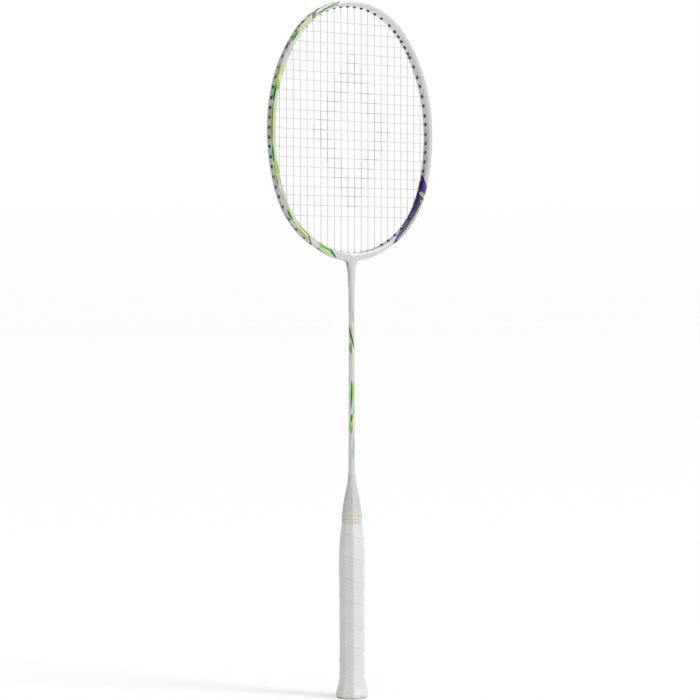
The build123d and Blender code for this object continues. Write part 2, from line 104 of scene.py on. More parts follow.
# The grip is an octagon: its width in X, depth in Y and corner cut.
GRIP_W = 22.8
GRIP_D = 21.7
GRIP_CUT = 6.15
WIDTH_GAIN = 0.3         # added to the widths of the grip and the butt cap
BUTT_Z = 10.4            # the grip's lower end
GRIP_TOP = 170.0
CONE_SKIRT_TOP = 180.9
TAPE_RIDGE_PITCH = 3.5
TAPE_SHADE_Z = 171.0      # height at which the wave of painted shade in the tape's hollows starts


# ---- Meshes ----
def piece(name, verts, faces, slot, *nodes, sharp=35.0):
    """A mesh object, made in millimetres, that rides on the racket and stands for its CAD nodes."""
    mesh = bpy.data.meshes.new(name)
    mesh.from_pydata([tuple(v) for v in np.asarray(verts, float) * MM], [], faces)
    mesh.validate()
    mesh.polygons.foreach_set("use_smooth", [True] * len(mesh.polygons))
    mesh.set_sharp_from_angle(angle=radians(sharp))
    mesh.materials.append(MATERIALS[slot])
    obj = bpy.data.objects.new(name, mesh)
    bpy.context.scene.collection.objects.link(obj)
    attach(obj, "root")
    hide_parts(*nodes)
    return obj


def loft(rings, closed=False):
    """Vertices and quads through rings of equal length. closed joins the last ring to the first."""
    count = len(rings[0])
    rows = len(rings)
    verts = [point for ring in rings for point in ring]
    faces = []
    for row in range(rows if closed else rows - 1):
        here, after = row * count, (row + 1) % rows * count
        for i in range(count):
            j = (i + 1) % count
            faces.append((here + i, here + j, after + j, after + i))
    if not closed:
        faces.append(tuple(reversed(range(count))))
        faces.append(tuple((rows - 1) * count + i for i in range(count)))
    return verts, faces


def gather(parts):
    """Joins several (verts, faces) into one."""
    verts, faces = [], []
    for part_verts, part_faces in parts:
        base = len(verts)
        verts += list(part_verts)
        faces += [tuple(base + i for i in face) for face in part_faces]
    return verts, faces


def rounded(corners, steps, arc_steps):
    """A closed outline through (x, y, radius) corners, starting midway along its last side."""
    arcs = []
    count = len(corners)
    for i, (x, y, radius) in enumerate(corners):
        here = np.array((x, y))
        before = np.array(corners[i - 1][:2]) - here
        after = np.array(corners[(i + 1) % count][:2]) - here
        before /= np.linalg.norm(before)
        after /= np.linalg.norm(after)
        half = 0.5 * np.arccos(np.clip(before @ after, -1.0, 1.0))
        centre = here + (before + after) / np.linalg.norm(before + after) * radius / sin(half)
        one = here + before * radius / np.tan(half)
        two = here + after * radius / np.tan(half)
        first = atan2(*(one - centre)[::-1])
        sweep = (atan2(*(two - centre)[::-1]) - first + pi) % (2 * pi) - pi
        arcs.append([
            centre + radius * np.array((cos(turn), sin(turn)))
            for turn in np.linspace(first, first + sweep, arc_steps + 1)
        ])
    points = []
    for i, arc in enumerate(arcs):
        gap = arcs[(i + 1) % count][0] - arc[-1]
        points += arc
        points += [arc[-1] + gap * k / steps for k in range(1, steps)]
    middle = (steps + 1) // 2
    start = len(points) - (steps - middle)
    return points[start:] + points[:start]


def add_attribute(obj, name, values):
    """Gives each face corner three numbers that a material can read."""
    layer = obj.data.attributes.new(name, "FLOAT_VECTOR", "CORNER")
    layer.data.foreach_set("vector", np.asarray(values, np.float32).ravel())


# ---- The head's oval ----
def head_arcs():
    """Arcs of the tube's centreline as (centre x, centre z, radius, start, end), clockwise from the top."""
    steps = [sin(radians(angle)) for angle in HEAD_ANGLES]
    reach = sum(r * (b - a) for r, a, b in zip(HEAD_RADII, steps, steps[1:]))
    radii = HEAD_RADII + [reach / steps[-1]]
    angles = HEAD_ANGLES + [180.0]
    x, z = 0.0, HEAD_TOP - TUBE_OUT
    right = []
    for radius, start, end in zip(radii, angles, angles[1:]):
        centre_x = x - radius * sin(radians(start))
        centre_z = z - radius * cos(radians(start))
        right.append((centre_x, centre_z, radius, start, end))
        x = centre_x + radius * sin(radians(end))
        z = centre_z + radius * cos(radians(end))
    left = [(-cx, cz, radius, 360.0 - end, 360.0 - start) for cx, cz, radius, start, end in reversed(right)]
    return right + left


ARCS = head_arcs()
BOTTOM_R = ARCS[len(HEAD_RADII)][2]
BOTTOM_Z = ARCS[len(HEAD_RADII)][1]
HALF_HOOP = sum(radius * radians(end - start) for _, _, radius, start, end in ARCS[: len(HEAD_RADII) + 1])


def hoop_point(angle, offset):
    """Point (x, z) at an angle from the top, moved outwards from the centreline by offset."""
    angle = angle % 360.0
    for centre_x, centre_z, radius, start, end in ARCS:
        if start <= angle <= end:
            break
    reach = radius + offset
    return centre_x + reach * sin(radians(angle)), centre_z + reach * cos(radians(angle))


def solve_angle(axis, target, offset, low, high):
    """Angle between low and high where the offset oval has the target x (axis 0) or z (axis 1)."""
    rising = hoop_point(high, offset)[axis] > hoop_point(low, offset)[axis]
    for _ in range(50):
        middle = (low + high) / 2
        if (hoop_point(middle, offset)[axis] < target) == rising:
            low = middle
        else:
            high = middle
    return (low + high) / 2


def mirrored(angle):
    return 360.0 - angle


main_x = [(i + 0.5) * MAIN_PITCH for i in range(MAINS_PER_SIDE)]
cross_angles = [solve_angle(1, z, MOUTH, 0.0, 180.0) for z in CROSS_HEIGHTS]


def main_holes(sharing, low, high):
    """Hole angle at one end of each main: its own, or that of the cross it shares a hole with."""
    own = [solve_angle(0, x, MOUTH, low, high) for x in main_x]
    return [cross_angles[sharing[i + 1] - 1] if i + 1 in sharing else angle for i, angle in enumerate(own)]


main_top = main_holes(SHARED_TOP, 0.0, 89.0)
main_bottom = main_holes(SHARED_BOTTOM, 91.0, 180.0)
hole_angles = sorted(set(main_top + main_bottom + cross_angles))
hole_angles += [mirrored(angle) for angle in hole_angles]


# ---- Materials ----
def rgb(red, green, blue):
    """Linear colour of an 8-bit sRGB one."""
    linear = [((c / 255 + 0.055) / 1.055) ** 2.4 if c > 10 else c / 3295 for c in (red, green, blue)]
    return (*linear, 1.0)


class Value:
    """The output of a node. It can be used in sums with other outputs and with numbers."""

    def __init__(self, graph, socket):
        self.graph = graph
        self.socket = socket

    def __add__(self, other):
        return self.graph.math("ADD", self, other)

    def __sub__(self, other):
        return self.graph.math("SUBTRACT", self, other)

    def __rsub__(self, other):
        return self.graph.math("SUBTRACT", other, self)

    def __mul__(self, other):
        return self.graph.math("MULTIPLY", self, other)

    def __truediv__(self, other):
        return self.graph.math("DIVIDE", self, other)

    def __abs__(self):
        return self.graph.math("ABSOLUTE", self)


class Graph:
    """Short calls for a node tree. An input is a number, a colour or a Value."""

    def __init__(self, tree):
        self.tree = tree

    def node(self, kind, inputs, **settings):
        node = self.tree.nodes.new(kind)
        for key, value in settings.items():
            setattr(node, key, value)
        for key, value in inputs.items():
            if isinstance(value, Value):
                self.tree.links.new(value.socket, node.inputs[key])
            else:
                node.inputs[key].default_value = value
        return node

    def value(self, kind, inputs, output=0, **settings):
        return Value(self, self.node(kind, inputs, **settings).outputs[output])

    def math(self, operation, *inputs):
        return self.value("ShaderNodeMath", dict(enumerate(inputs)), operation=operation)

    def wave(self, value, pitch):
        """Sine of a value, from -1 to 1, that repeats after each pitch."""
        return self.math("SINE", value * (2 * pi / pitch))

    def ramp(self, value, low, high, to_low=0.0, to_high=1.0):
        """Rises smoothly from to_low to to_high as the value goes from low to high."""
        inputs = {0: value, 1: low, 2: high, 3: to_low, 4: to_high}
        return self.value("ShaderNodeMapRange", inputs, interpolation_type="SMOOTHSTEP")

    def mix(self, factor, a, b):
        return self.value("ShaderNodeMix", {0: factor, 6: a, 7: b}, output=2, data_type="RGBA")

    def split(self, vector):
        return [Value(self, socket) for socket in self.node("ShaderNodeSeparateXYZ", {0: vector}).outputs]

    def join(self, x, y, z):
        return self.value("ShaderNodeCombineXYZ", {0: x, 1: y, 2: z})

    def attribute(self, name):
        return self.value("ShaderNodeAttribute", {}, "Vector", attribute_name=name)

    def place(self):
        """Position in millimetres."""
        coordinates = self.value("ShaderNodeTexCoord", {}, "Object")
        return self.value("ShaderNodeVectorMath", {0: coordinates, 3: 1 / MM}, operation="SCALE")

    def noise(self, vector, scale, detail=2.0, roughness=0.5):
        inputs = {"Vector": vector, "Scale": scale, "Detail": detail, "Roughness": roughness}
        return self.value("ShaderNodeTexNoise", inputs)

    def mottled(self, vector, scale, detail, one, two, low=0.35):
        """A colour that drifts from one to another in soft patches."""
        return self.mix(self.ramp(self.noise(vector, scale, detail), low, 0.7), one, two)

    def uneven(self, vector, scale, detail, low, high):
        """A number that drifts between low and high."""
        return self.ramp(self.noise(vector, scale, detail), 0.3, 0.7, low, high)

    def bump(self, height, depth, strength, under=None):
        """Normal of a bump whose height of 1 stands depth millimetres proud."""
        inputs = {"Height": height, "Distance": depth * MM, "Strength": strength}
        if under is not None:
            inputs["Normal"] = under
        return self.value("ShaderNodeBump", inputs)


class Finish(Graph):
    """A new material's graph. Its constants go on the shader's own sockets."""

    def __init__(self, name, **constants):
        self.material = bpy.data.materials.new(name)
        self.material.use_nodes = True
        super().__init__(self.material.node_tree)
        self.shader = self.tree.nodes["Principled BSDF"]
        for key, value in constants.items():
            self.shader.inputs[key.replace("_", " ")].default_value = value

    def done(self, colour, rough, normal):
        for key, value in (("Base Color", colour), ("Roughness", rough), ("Normal", normal)):
            self.tree.links.new(value.socket, self.shader.inputs[key])
        return self.material


WHITE = rgb(214, 214, 213)
PEARL = rgb(209, 209, 213)
FLAKE = rgb(200, 202, 214)
DEEP_GREEN = rgb(14, 108, 30)
DARK_GREEN = rgb(6, 84, 16)
MOSS_GREEN = rgb(78, 150, 54)
LEAF_GREEN = rgb(98, 190, 78)
LEAF_LIGHT = rgb(142, 208, 122)
MINT = rgb(186, 240, 190)
LIME = rgb(158, 214, 66)
PALE_LIME = rgb(207, 235, 160)
SOFT_LIME = rgb(200, 222, 160)
YELLOW_LIME = rgb(214, 228, 110)
OLIVE = rgb(118, 134, 60)
PALE_OLIVE = rgb(184, 190, 142)
LAVENDER = rgb(206, 202, 228)
PURPLE = rgb(64, 38, 112)
DARK_PURPLE = rgb(44, 26, 78)
# violet: painted highlight on the flash's front face
VIOLET_HIGHLIGHT = rgb(98, 66, 178)
INK = rgb(58, 56, 50)
SILVER = rgb(206, 207, 196)
BRIGHT_BAR = rgb(168, 186, 78)


def blade_group():
    """A painted blade: a stroke with pointed ends from one (s, u) to another, as a mask."""
    tree = bpy.data.node_groups.new("blade", "ShaderNodeTree")
    for name in ("S", "U", "Start S", "Start U", "End S", "End U", "Bend", "Half width"):
        tree.interface.new_socket(name, in_out="INPUT", socket_type="NodeSocketFloat")
    tree.interface.new_socket("Mask", in_out="OUTPUT", socket_type="NodeSocketFloat")
    graph = Graph(tree)
    sockets = tree.nodes.new("NodeGroupInput").outputs
    s, u, start_s, start_u, end_s, end_u, bend, half = [Value(graph, socket) for socket in sockets[:8]]
    along = (s - start_s) / (end_s - start_s)
    bulge = graph.math("MAXIMUM", along * (1.0 - along) * 4.0, 0.0)
    line = (end_u - start_u) * along + start_u + bulge * bend
    reach = graph.math("POWER", bulge, 0.6) * half
    graph.node("NodeGroupOutput", {"Mask": graph.ramp(reach - abs(u - line), 0.0, 0.16)})
    return tree


BLADE = blade_group()


def blade(graph, s, u, start_s, start_u, end_s, end_u, bend, half):
    """Mask of one blade."""
    inputs = {
        "S": s, "U": u, "Start S": start_s, "Start U": start_u,
        "End S": end_s, "End U": end_u, "Bend": bend, "Half width": half,
    }
    return graph.value("ShaderNodeGroup", inputs, "Mask", node_tree=BLADE)


def paint_blades(graph, s, u, colour, blades):
    """Lays blades (start s, start u, end s, end u, bend, half width, colour) over a colour, one by one."""
    for *shape, tint in blades:
        colour = graph.mix(blade(graph, s, u, *shape), colour, tint)
    return colour


# The ribbon down one side of the head: s runs from the top centre to the throat, u from the middle of the
# face, positive outwards, both in millimetres.
RIBBON = [
    # crown
    (19, 5.6, 27, 0.6, 0.0, 2.0, MINT),
    (17, 6.4, 26, -0.4, 0.0, 2.8, LIME),
    (11, 7.0, 21, 0.0, -0.3, 1.8, MOSS_GREEN),
    (28, 6.0, 42, 1.2, 0.2, 1.7, LAVENDER),
    (18, 0.9, 37, 0.1, 0.0, 1.2, MOSS_GREEN),
    (29, 0.2, 45, -0.6, 0.0, 0.9, OLIVE),
    (44, 4.6, 52, -1.4, 0.0, 1.6, LIME),
    (39, 7.4, 52, -1.0, 0.0, 2.6, MOSS_GREEN),
    (50, 1.0, 72, 1.2, 0.0, 1.8, SOFT_LIME),
    (51, 2.8, 66, 4.2, 0.2, 0.45, OLIVE),
    (53, -0.8, 69, -1.1, 0.0, 0.4, PALE_OLIVE),
    (56, 1.6, 66, 1.9, 0.0, 0.7, YELLOW_LIME),
    # first leaf
    (69, 0.0, 85, 0.0, 0.0, 1.8, PALE_LIME),
    (70, 4.6, 85, 4.3, 0.0, 1.8, LEAF_LIGHT),
    (70, 2.0, 85, 2.1, 0.0, 0.95, DEEP_GREEN),
    (83, 2.4, 100, 2.6, 0.0, 0.35, OLIVE),
    (82, -1.0, 101, -1.2, 0.0, 0.35, PALE_OLIVE),
    (86, 4.0, 95, 3.4, 0.0, 0.9, LAVENDER),
    # second leaf
    (105, 0.2, 128, 0.4, 0.0, 2.3, PALE_LIME),
    (106, 0.8, 119, 0.8, 0.0, 1.4, YELLOW_LIME),
    (109, 3.0, 125, 2.6, 0.0, 0.6, OLIVE),
    (108, -1.0, 121, -1.2, 0.0, 0.35, OLIVE),
    (129, 0.4, 144, 0.2, 0.0, 1.8, MINT),
    (129, 3.6, 144, 3.8, 0.0, 1.4, LEAF_LIGHT),
    (123, 1.4, 134, 1.2, 0.0, 2.4, LIME),
    (127, -0.9, 134, -0.5, 0.0, 0.5, OLIVE),
    (128, 2.2, 147, 2.2, 0.0, 1.0, DEEP_GREEN),
    # long middle band
    (145, 3.4, 189, 3.4, 0.0, 1.3, PALE_OLIVE),
    (144, -0.4, 190, -0.4, 0.0, 2.3, SOFT_LIME),
    (149, 1.0, 165, 0.4, 0.0, 0.7, YELLOW_LIME),
    (143, 2.4, 191, 2.4, -0.4, 0.75, OLIVE),
    (152, -1.0, 178, -1.1, 0.0, 0.25, PALE_OLIVE),
    # third leaf
    (187, -0.2, 201, -0.4, 0.0, 1.6, MINT),
    (188, 3.8, 202, 4.0, 0.0, 1.5, LEAF_LIGHT),
    (185, 2.0, 204, 2.2, 0.0, 1.05, DEEP_GREEN),
    (204, 0.2, 225, 0.6, 0.0, 1.7, SOFT_LIME),
    (199, 0.8, 214, 0.7, 0.0, 1.9, LIME),
    (203, 2.5, 214, 2.3, 0.0, 0.5, OLIVE),
    (202, -0.9, 214, -0.7, 0.0, 0.45, OLIVE),
    (213, 3.7, 225, 3.7, 0.0, 1.3, PALE_OLIVE),
    (212, 2.1, 226, 2.2, 0.0, 0.7, OLIVE),
    (214, -0.9, 226, -0.8, 0.0, 0.35, OLIVE),
    (224, 2.2, 250, 2.2, 0.0, 0.45, OLIVE),
    (227, 0.0, 250, 0.4, 0.0, 0.9, PALE_OLIVE),
    (225, 3.8, 232, 3.2, 0.0, 0.8, LAVENDER),
    # fourth leaf
    (247, -0.8, 261, -1.0, 0.0, 1.3, MINT),
    (250, 4.2, 261, 4.4, 0.0, 1.8, LEAF_LIGHT),
    (246, 0.4, 254, 1.2, 0.0, 1.2, LIME),
    (248, 1.9, 261, 2.0, 0.0, 1.0, DARK_GREEN),
    (259, 3.0, 265, 2.6, 0.0, 2.4, PALE_OLIVE),
    (268, 3.6, 287, 3.4, 0.0, 1.4, PALE_OLIVE),
    (259, 0.7, 287, 0.7, 0.0, 1.4, YELLOW_LIME),
    (262, 0.6, 284, 0.7, 0.0, 0.7, PALE_LIME),
    (264, -0.9, 286, -0.9, 0.0, 0.5, OLIVE),
    (265, 2.3, 288, 2.1, 0.0, 0.5, OLIVE),
    # towards the throat
    (286, 0.6, 293, 4.6, 0.0, 1.2, MINT),
    (281, -1.4, 293, 6.4, 0.0, 1.2, MOSS_GREEN),
    (295, 4.8, 303, 2.0, 0.0, 1.3, LAVENDER),
    (297, 1.2, 316, 2.0, 0.0, 2.2, LIME),
    (300, 1.6, 312, 2.0, 0.0, 0.9, YELLOW_LIME),
    (294, -1.0, 315, 0.0, 0.0, 0.8, MOSS_GREEN),
    (314, -0.6, 323, 6.4, 0.0, 1.6, MINT),
    (310, -1.4, 321, 6.6, 0.0, 1.5, DEEP_GREEN),
]


def lacquer(name):
    """Gloss white pearl lacquer with a trace of colour drift, fine scuffs and orange peel."""
    graph = Finish(name, Coat_Weight=0.7, Coat_Roughness=0.07, Coat_IOR=1.5, IOR=1.5)
    place = graph.place()
    colour = graph.mottled(place, 0.035, 3.0, WHITE, PEARL, low=0.4)
    colour = graph.mix(graph.ramp(graph.noise(place, 9.0), 0.35, 0.75, 0.0, 0.05), colour, FLAKE)
    rough = graph.ramp(graph.noise(place, 1.3, 5.0, 0.7), 0.56, 0.72, 0.26, 0.4)
    return graph, colour, rough, graph.bump(graph.noise(place, 1.6), 0.012, 0.5)


# The flash, in the same terms as the ribbon: it is V-shaped above and cut on a slant below.
FLASH_TIP = (209.0, -7.4)         # the V's point
FLASH_V = 1.35                    # rise of the V's sides
FLASH_END = (291.0, 0.6)          # where the slanted cut starts
FLASH_CUT = 2.3                   # rise of the cut
FLASH_INNER = -11.0               # it runs from here on the inner face
FLASH_OUTER = 3.7                 # to here, short of the groove
FLASH_HALO = 2.6                  # width of the pale edge round it
FLASH_HIGHLIGHT_U = (-4.4, -0.6)       # the flash turns violet, a painted highlight, across here towards the front face
FLASH_HIGHLIGHT_FADE = (244.0, 234.0)       # and the painted highlight fades back to purple from here down
HATCH_PITCH = 3.0
HATCH_SLANT = 0.35


def frame_paint():
    """Lacquer with the green ribbon and the purple flash, which carries a painted violet highlight on its
    front face. Its attribute holds (s, u ribbon, u flash).
    """
    graph, colour, rough, peel = lacquer("frame_paint")
    s, u_ribbon, u = graph.split(graph.attribute("paint"))
    colour = paint_blades(graph, s, u_ribbon, colour, RIBBON)

    above = abs(u - FLASH_TIP[1]) * FLASH_V + FLASH_TIP[0]
    below = graph.math("MINIMUM", (u - FLASH_END[1]) * FLASH_CUT, 0.0) + FLASH_END[0]
    inside = graph.math("MINIMUM", s - above, below - s)
    inner, outer = (FLASH_INNER, FLASH_INNER + 0.2), (FLASH_OUTER, FLASH_OUTER - 0.2)
    faces = graph.ramp(u, *inner) * graph.ramp(u, *outer)
    colour = graph.mix(graph.ramp(inside, -FLASH_HALO, 0.3 - FLASH_HALO) * faces, colour, LAVENDER)
    # Painted highlight: violet across the flash's front face, fading to the darker purple of the inner face
    # and lower down.
    flash_highlight = graph.ramp(u, *FLASH_HIGHLIGHT_U) * graph.ramp(s, *FLASH_HIGHLIGHT_FADE, 0.25, 1.0)
    shade = graph.mix(flash_highlight, PURPLE, VIOLET_HIGHLIGHT)
    streak = graph.noise(graph.join(s * 0.06, u, 0.0), 1.1, 3.0)
    shade = graph.mix(graph.ramp(streak, 0.35, 0.75, 0.0, 0.5), shade, DARK_PURPLE)
    colour = graph.mix(graph.ramp(inside, -0.1, 0.1) * faces, colour, shade)

    # Plain trim on the flash: a silver panel with an even slanted hatch and dark edges, and pale bars.
    hatch = graph.ramp(graph.wave(s - u * HATCH_SLANT, HATCH_PITCH), 0.25, 0.7, 0.0, 0.75)
    colour = paint_blades(graph, s, u, colour, [(232, 1.0, 288, 1.0, 0.0, 2.9, INK)])
    panel = blade(graph, s, u, 234, 0.6, 286, 0.6, 0.0, 1.8)
    colour = graph.mix(panel, colour, graph.mix(hatch, SILVER, INK))
    bars = [
        (227.6, -5.4, 234.4, 5.4, 0.0, 4.0, LAVENDER),
        (228.4, -5.0, 233.6, 5.0, 0.0, 3.0, BRIGHT_BAR),
        (235.6, -0.8, 242.0, 4.2, 0.0, 2.2, BRIGHT_BAR),
    ]
    return graph.done(paint_blades(graph, s, u, colour, bars), rough, peel)


SHAFT_ART_TURN = 33.3    # the artwork is measured round the shaft from this many degrees left of the front
# Blades on the shaft, as for the ribbon, with heights up the racket for s and millimetres round it for u.
SHAFT_BLADES = [
    (376, 1.4, 364, 2.2, 0.0, 0.7, LEAF_GREEN),
    (362, -0.6, 352, -0.2, 0.0, 0.9, PALE_OLIVE),
    (358, 2.6, 344, 2.6, 0.0, 0.5, PALE_OLIVE),
    (359, -4.2, 345, -1.6, 0.0, 1.2, MINT),
    (352, 1.2, 336, 3.8, 0.0, 1.0, MINT),
    (363, -3.8, 338, 3.9, -0.4, 1.3, DEEP_GREEN),
    (352, -3.0, 336, -0.4, 0.0, 1.6, PALE_LIME),
    (346, -1.0, 333, -0.2, 0.0, 1.0, OLIVE),
    (344, -3.4, 335, -2.2, 0.0, 0.7, OLIVE),
    (338, 1.2, 325, 2.4, 0.0, 0.9, YELLOW_LIME),
    (309, 1.8, 285, 1.2, 0.3, 1.4, LIME),
    (306, -1.6, 284, -1.2, 0.0, 1.0, MINT),
    (309, 0.2, 280, -0.6, 0.0, 0.9, DEEP_GREEN),
    (285, 3.4, 270, 0.6, 0.0, 0.8, LEAF_GREEN),
    (283, 1.4, 271, -0.2, 0.0, 0.8, MINT),
    (276, -2.6, 264, -2.0, 0.0, 0.8, MINT),
    (275, 2.4, 266, 1.6, 0.0, 0.9, YELLOW_LIME),
    (276, 0.0, 264, -0.6, 0.0, 1.0, DEEP_GREEN),
    (269, 0.2, 256, -0.6, 0.0, 1.4, LIME),
    (269, -3.0, 258, -1.0, 0.0, 0.5, OLIVE),
    (264, 0.6, 256, -0.4, 0.0, 0.5, OLIVE),
    (254, 2.2, 232, 0.8, 0.5, 0.8, LEAF_GREEN),
]


def shaft_paint():
    """Lacquer with blades that wind round the shaft, the same again on its other side."""
    graph, colour, rough, peel = lacquer("shaft_paint")
    x, y, z = graph.split(graph.place())
    turn = graph.math("ARCTAN2", x, y * -1.0) + radians(SHAFT_ART_TURN)
    around = graph.math("WRAP", turn, pi / 2, -pi / 2) * SHAFT_ART_R
    return graph.done(paint_blades(graph, z, around, colour, SHAFT_BLADES), rough, peel)


def cone_plastic():
    """Satin white moulded plastic."""
    graph = Finish("cone_plastic", Coat_Weight=0.25, Coat_Roughness=0.2, IOR=1.49)
    place = graph.place()
    colour = graph.mottled(place, 0.08, 3.0, rgb(210, 210, 209), rgb(203, 203, 203), low=0.4)
    grime = graph.ramp(graph.noise(place, 0.5, 5.0, 0.65), 0.6, 0.8, 0.0, 0.18)
    colour = graph.mix(grime, colour, rgb(188, 186, 178))
    rough = graph.uneven(place, 2.5, 3.0, 0.34, 0.46)
    return graph.done(colour, rough, graph.bump(graph.noise(place, 4.0), 0.02, 0.6))


def tape_cream():
    """Cream vinyl tape with fine lines round it and a line of painted shade in each dip."""
    graph = Finish("tape_cream", Coat_Weight=0.1, Coat_Roughness=0.3, IOR=1.5)
    place = graph.place()
    height = graph.split(place)[2]
    colour = graph.mottled(place, 0.3, 3.0, rgb(222, 222, 205), rgb(213, 212, 192))
    dip_shade = graph.wave(height - TAPE_SHADE_Z, TAPE_RIDGE_PITCH)
    # Painted shade: a darker line in each hollow between the tape's ridges.
    colour = graph.mix(graph.ramp(dip_shade, -0.6, -1.0, 0.0, 0.5), colour, rgb(168, 164, 126))
    lines = graph.wave(height, 0.7)
    colour = graph.mix(graph.ramp(lines, -0.2, 1.0, 0.0, 0.12), colour, rgb(176, 172, 140))
    skin = graph.bump(graph.noise(place, 6.0), 0.03, 0.5, graph.bump(lines, 0.03, 0.6))
    return graph.done(colour, graph.uneven(place, 3.0, 2.0, 0.42, 0.55), skin)


def grip_cover():
    """Tacky white polyurethane with a pebbled skin and grey painted shade in its valleys and along the tape's
    edge crease.
    """
    graph = Finish("grip_cover", IOR=1.47, Sheen_Weight=0.15, Sheen_Roughness=0.5)
    place = graph.place()
    valley_and_shade = graph.split(graph.attribute("wrap"))[1]
    colour = graph.mottled(place, 0.05, 4.0, rgb(227, 227, 226), rgb(221, 221, 221))
    # Painted shade: grey in the rib valleys and the crease at the tape's edge.
    colour = graph.mix(valley_and_shade * 0.12, colour, rgb(170, 168, 164))
    grime = graph.ramp(graph.noise(place, 0.35, 6.0, 0.7), 0.58, 0.8, 0.0, 0.22)
    colour = graph.mix(grime, colour, rgb(186, 182, 172))
    cells = graph.value("ShaderNodeTexVoronoi", {"Vector": place, "Scale": 1.9}, "Distance")
    skin = graph.bump(graph.ramp(cells, 0.1, 0.7), 0.05, 0.7)
    skin = graph.bump(graph.noise(place, 5.0, 3.0), 0.04, 0.5, skin)
    return graph.done(colour, graph.uneven(place, 1.4, 4.0, 0.5, 0.66), skin)


def cap_plastic():
    """The butt's soft moulded skin, with fine turning lines and a foot that gets darker towards the bottom.
    """
    graph = Finish("cap_plastic", IOR=1.48, Coat_Weight=0.1, Coat_Roughness=0.35)
    place = graph.place()
    height = graph.split(place)[2]
    colour = graph.mottled(place, 0.12, 3.0, rgb(229, 229, 227), rgb(221, 221, 216), low=0.4)
    # Darker towards the bottom of the cap.
    colour = graph.mix(graph.ramp(height, 3.5, 0.2, 0.0, 0.3), colour, rgb(176, 174, 166))
    skin = graph.bump(graph.wave(height, 1.1), 0.025, 0.5)
    skin = graph.bump(graph.noise(place, 3.5, 3.0), 0.03, 0.6, skin)
    return graph.done(colour, graph.uneven(place, 1.8, 4.0, 0.42, 0.6), skin)


def badge_plastic():
    """The blank badge in the butt: satin grey with spun rings."""
    graph = Finish("badge_plastic", IOR=1.5, Coat_Weight=0.5, Coat_Roughness=0.12)
    place = graph.place()
    x, y, _ = graph.split(place)
    rings = graph.wave(graph.math("SQRT", x * x + y * y), 0.5)
    colour = graph.mix(graph.ramp(rings, -1.0, 1.0), rgb(206, 207, 210), rgb(190, 191, 195))
    return graph.done(colour, graph.uneven(place, 2.0, 3.0, 0.25, 0.4), graph.bump(rings, 0.02, 0.5))


STENCIL_Z = 549.0        # the stencil is a plain upright diamond about this height
STENCIL_HALF_W = 46.0
STENCIL_HALF_H = 82.0
STENCIL_BAND = 0.2       # half the width of its line, as a share of its half sizes
BRAID_PITCH = 1.3
BRAID_STRANDS = 6


def string_nylon():
    """White braided nylon with painted shade between the braid's strands, and a plain stencil. The cord
    attribute holds (length along, turn round).
    """
    nylon = {"Subsurface_Weight": 0.15, "Subsurface_Scale": 0.001, "Coat_Weight": 0.3, "Coat_Roughness": 0.15}
    graph = Finish("string_nylon", IOR=1.53, **nylon)
    place = graph.place()
    x, _, z = graph.split(place)
    length, turn, _ = graph.split(graph.attribute("cord"))
    along, round_it = length * (2 * pi / BRAID_PITCH), turn * BRAID_STRANDS
    braid = graph.math("MAXIMUM", graph.math("SINE", along + round_it), graph.math("SINE", along - round_it))
    # Painted shade: darker between the braid's strands, lighter on their crowns.
    colour = graph.mix(graph.ramp(braid, -0.6, 1.0), rgb(204, 205, 200), rgb(228, 229, 224))
    away = abs(x / STENCIL_HALF_W) + abs((z - STENCIL_Z) / STENCIL_HALF_H)
    band = STENCIL_BAND - abs(away - (1.0 - STENCIL_BAND))
    ink = graph.ramp(band, 0.0, 0.02) * graph.uneven(place, 1.2, 3.0, 0.55, 1.0)
    colour = graph.mix(ink * 0.6, colour, rgb(112, 96, 88))
    return graph.done(colour, graph.uneven(place, 3.0, 2.0, 0.3, 0.42), graph.bump(braid, 0.03, 0.8))


def grommet_nylon(name, dark, light):
    """Moulded nylon with a slightly mottled, satin skin."""
    graph = Finish(name, IOR=1.42)
    place = graph.place()
    colour = graph.mottled(place, 0.9, 4.0, dark, light)
    rough = graph.uneven(place, 3.0, 3.0, 0.5, 0.66)
    return graph.done(colour, rough, graph.bump(graph.noise(place, 5.0), 0.02, 0.6))


def bare_carbon():
    """Woven carbon under clear resin."""
    graph = Finish("bare_carbon", Coat_Weight=0.8, Coat_Roughness=0.08, IOR=1.5)
    x, _, z = graph.split(graph.place())
    weave = graph.wave(x + z, 1.6) * graph.wave(x - z, 1.6)
    colour = graph.mix(graph.ramp(weave, -0.5, 0.5), rgb(22, 23, 25), rgb(52, 54, 58))
    return graph.done(colour, graph.ramp(weave, -0.5, 0.5, 0.3, 0.5), graph.bump(weave, 0.03, 0.6))


def core_wood():
    """Pale straight-grained wood that runs up the handle."""
    graph = Finish("core_wood", IOR=1.45)
    x, y, z = graph.split(graph.place())
    stretched = graph.join(x, y, z * 0.06)
    grain = graph.noise(stretched, 0.7, 5.0, 0.6)
    fibre = graph.noise(stretched, 6.0, 3.0)
    colour = graph.mix(graph.ramp(grain, 0.35, 0.7), rgb(214, 182, 132), rgb(176, 136, 86))
    colour = graph.mix(graph.ramp(fibre, 0.5, 0.8, 0.0, 0.4), colour, rgb(134, 98, 58))
    return graph.done(colour, graph.ramp(grain, 0.3, 0.7, 0.6, 0.75), graph.bump(fibre, 0.06, 0.6))


def pin_steel():
    """Drawn steel with fine lengthwise scratches."""
    graph = Finish("pin_steel", Metallic=1.0)
    x, y, z = graph.split(graph.place())
    drawn = graph.noise(graph.join(x, y * 0.08, z), 7.0, 4.0)
    colour = graph.mix(graph.ramp(drawn, 0.3, 0.7), rgb(168, 170, 174), rgb(206, 208, 210))
    return graph.done(colour, graph.ramp(drawn, 0.3, 0.7, 0.22, 0.38), graph.bump(drawn, 0.01, 0.5))


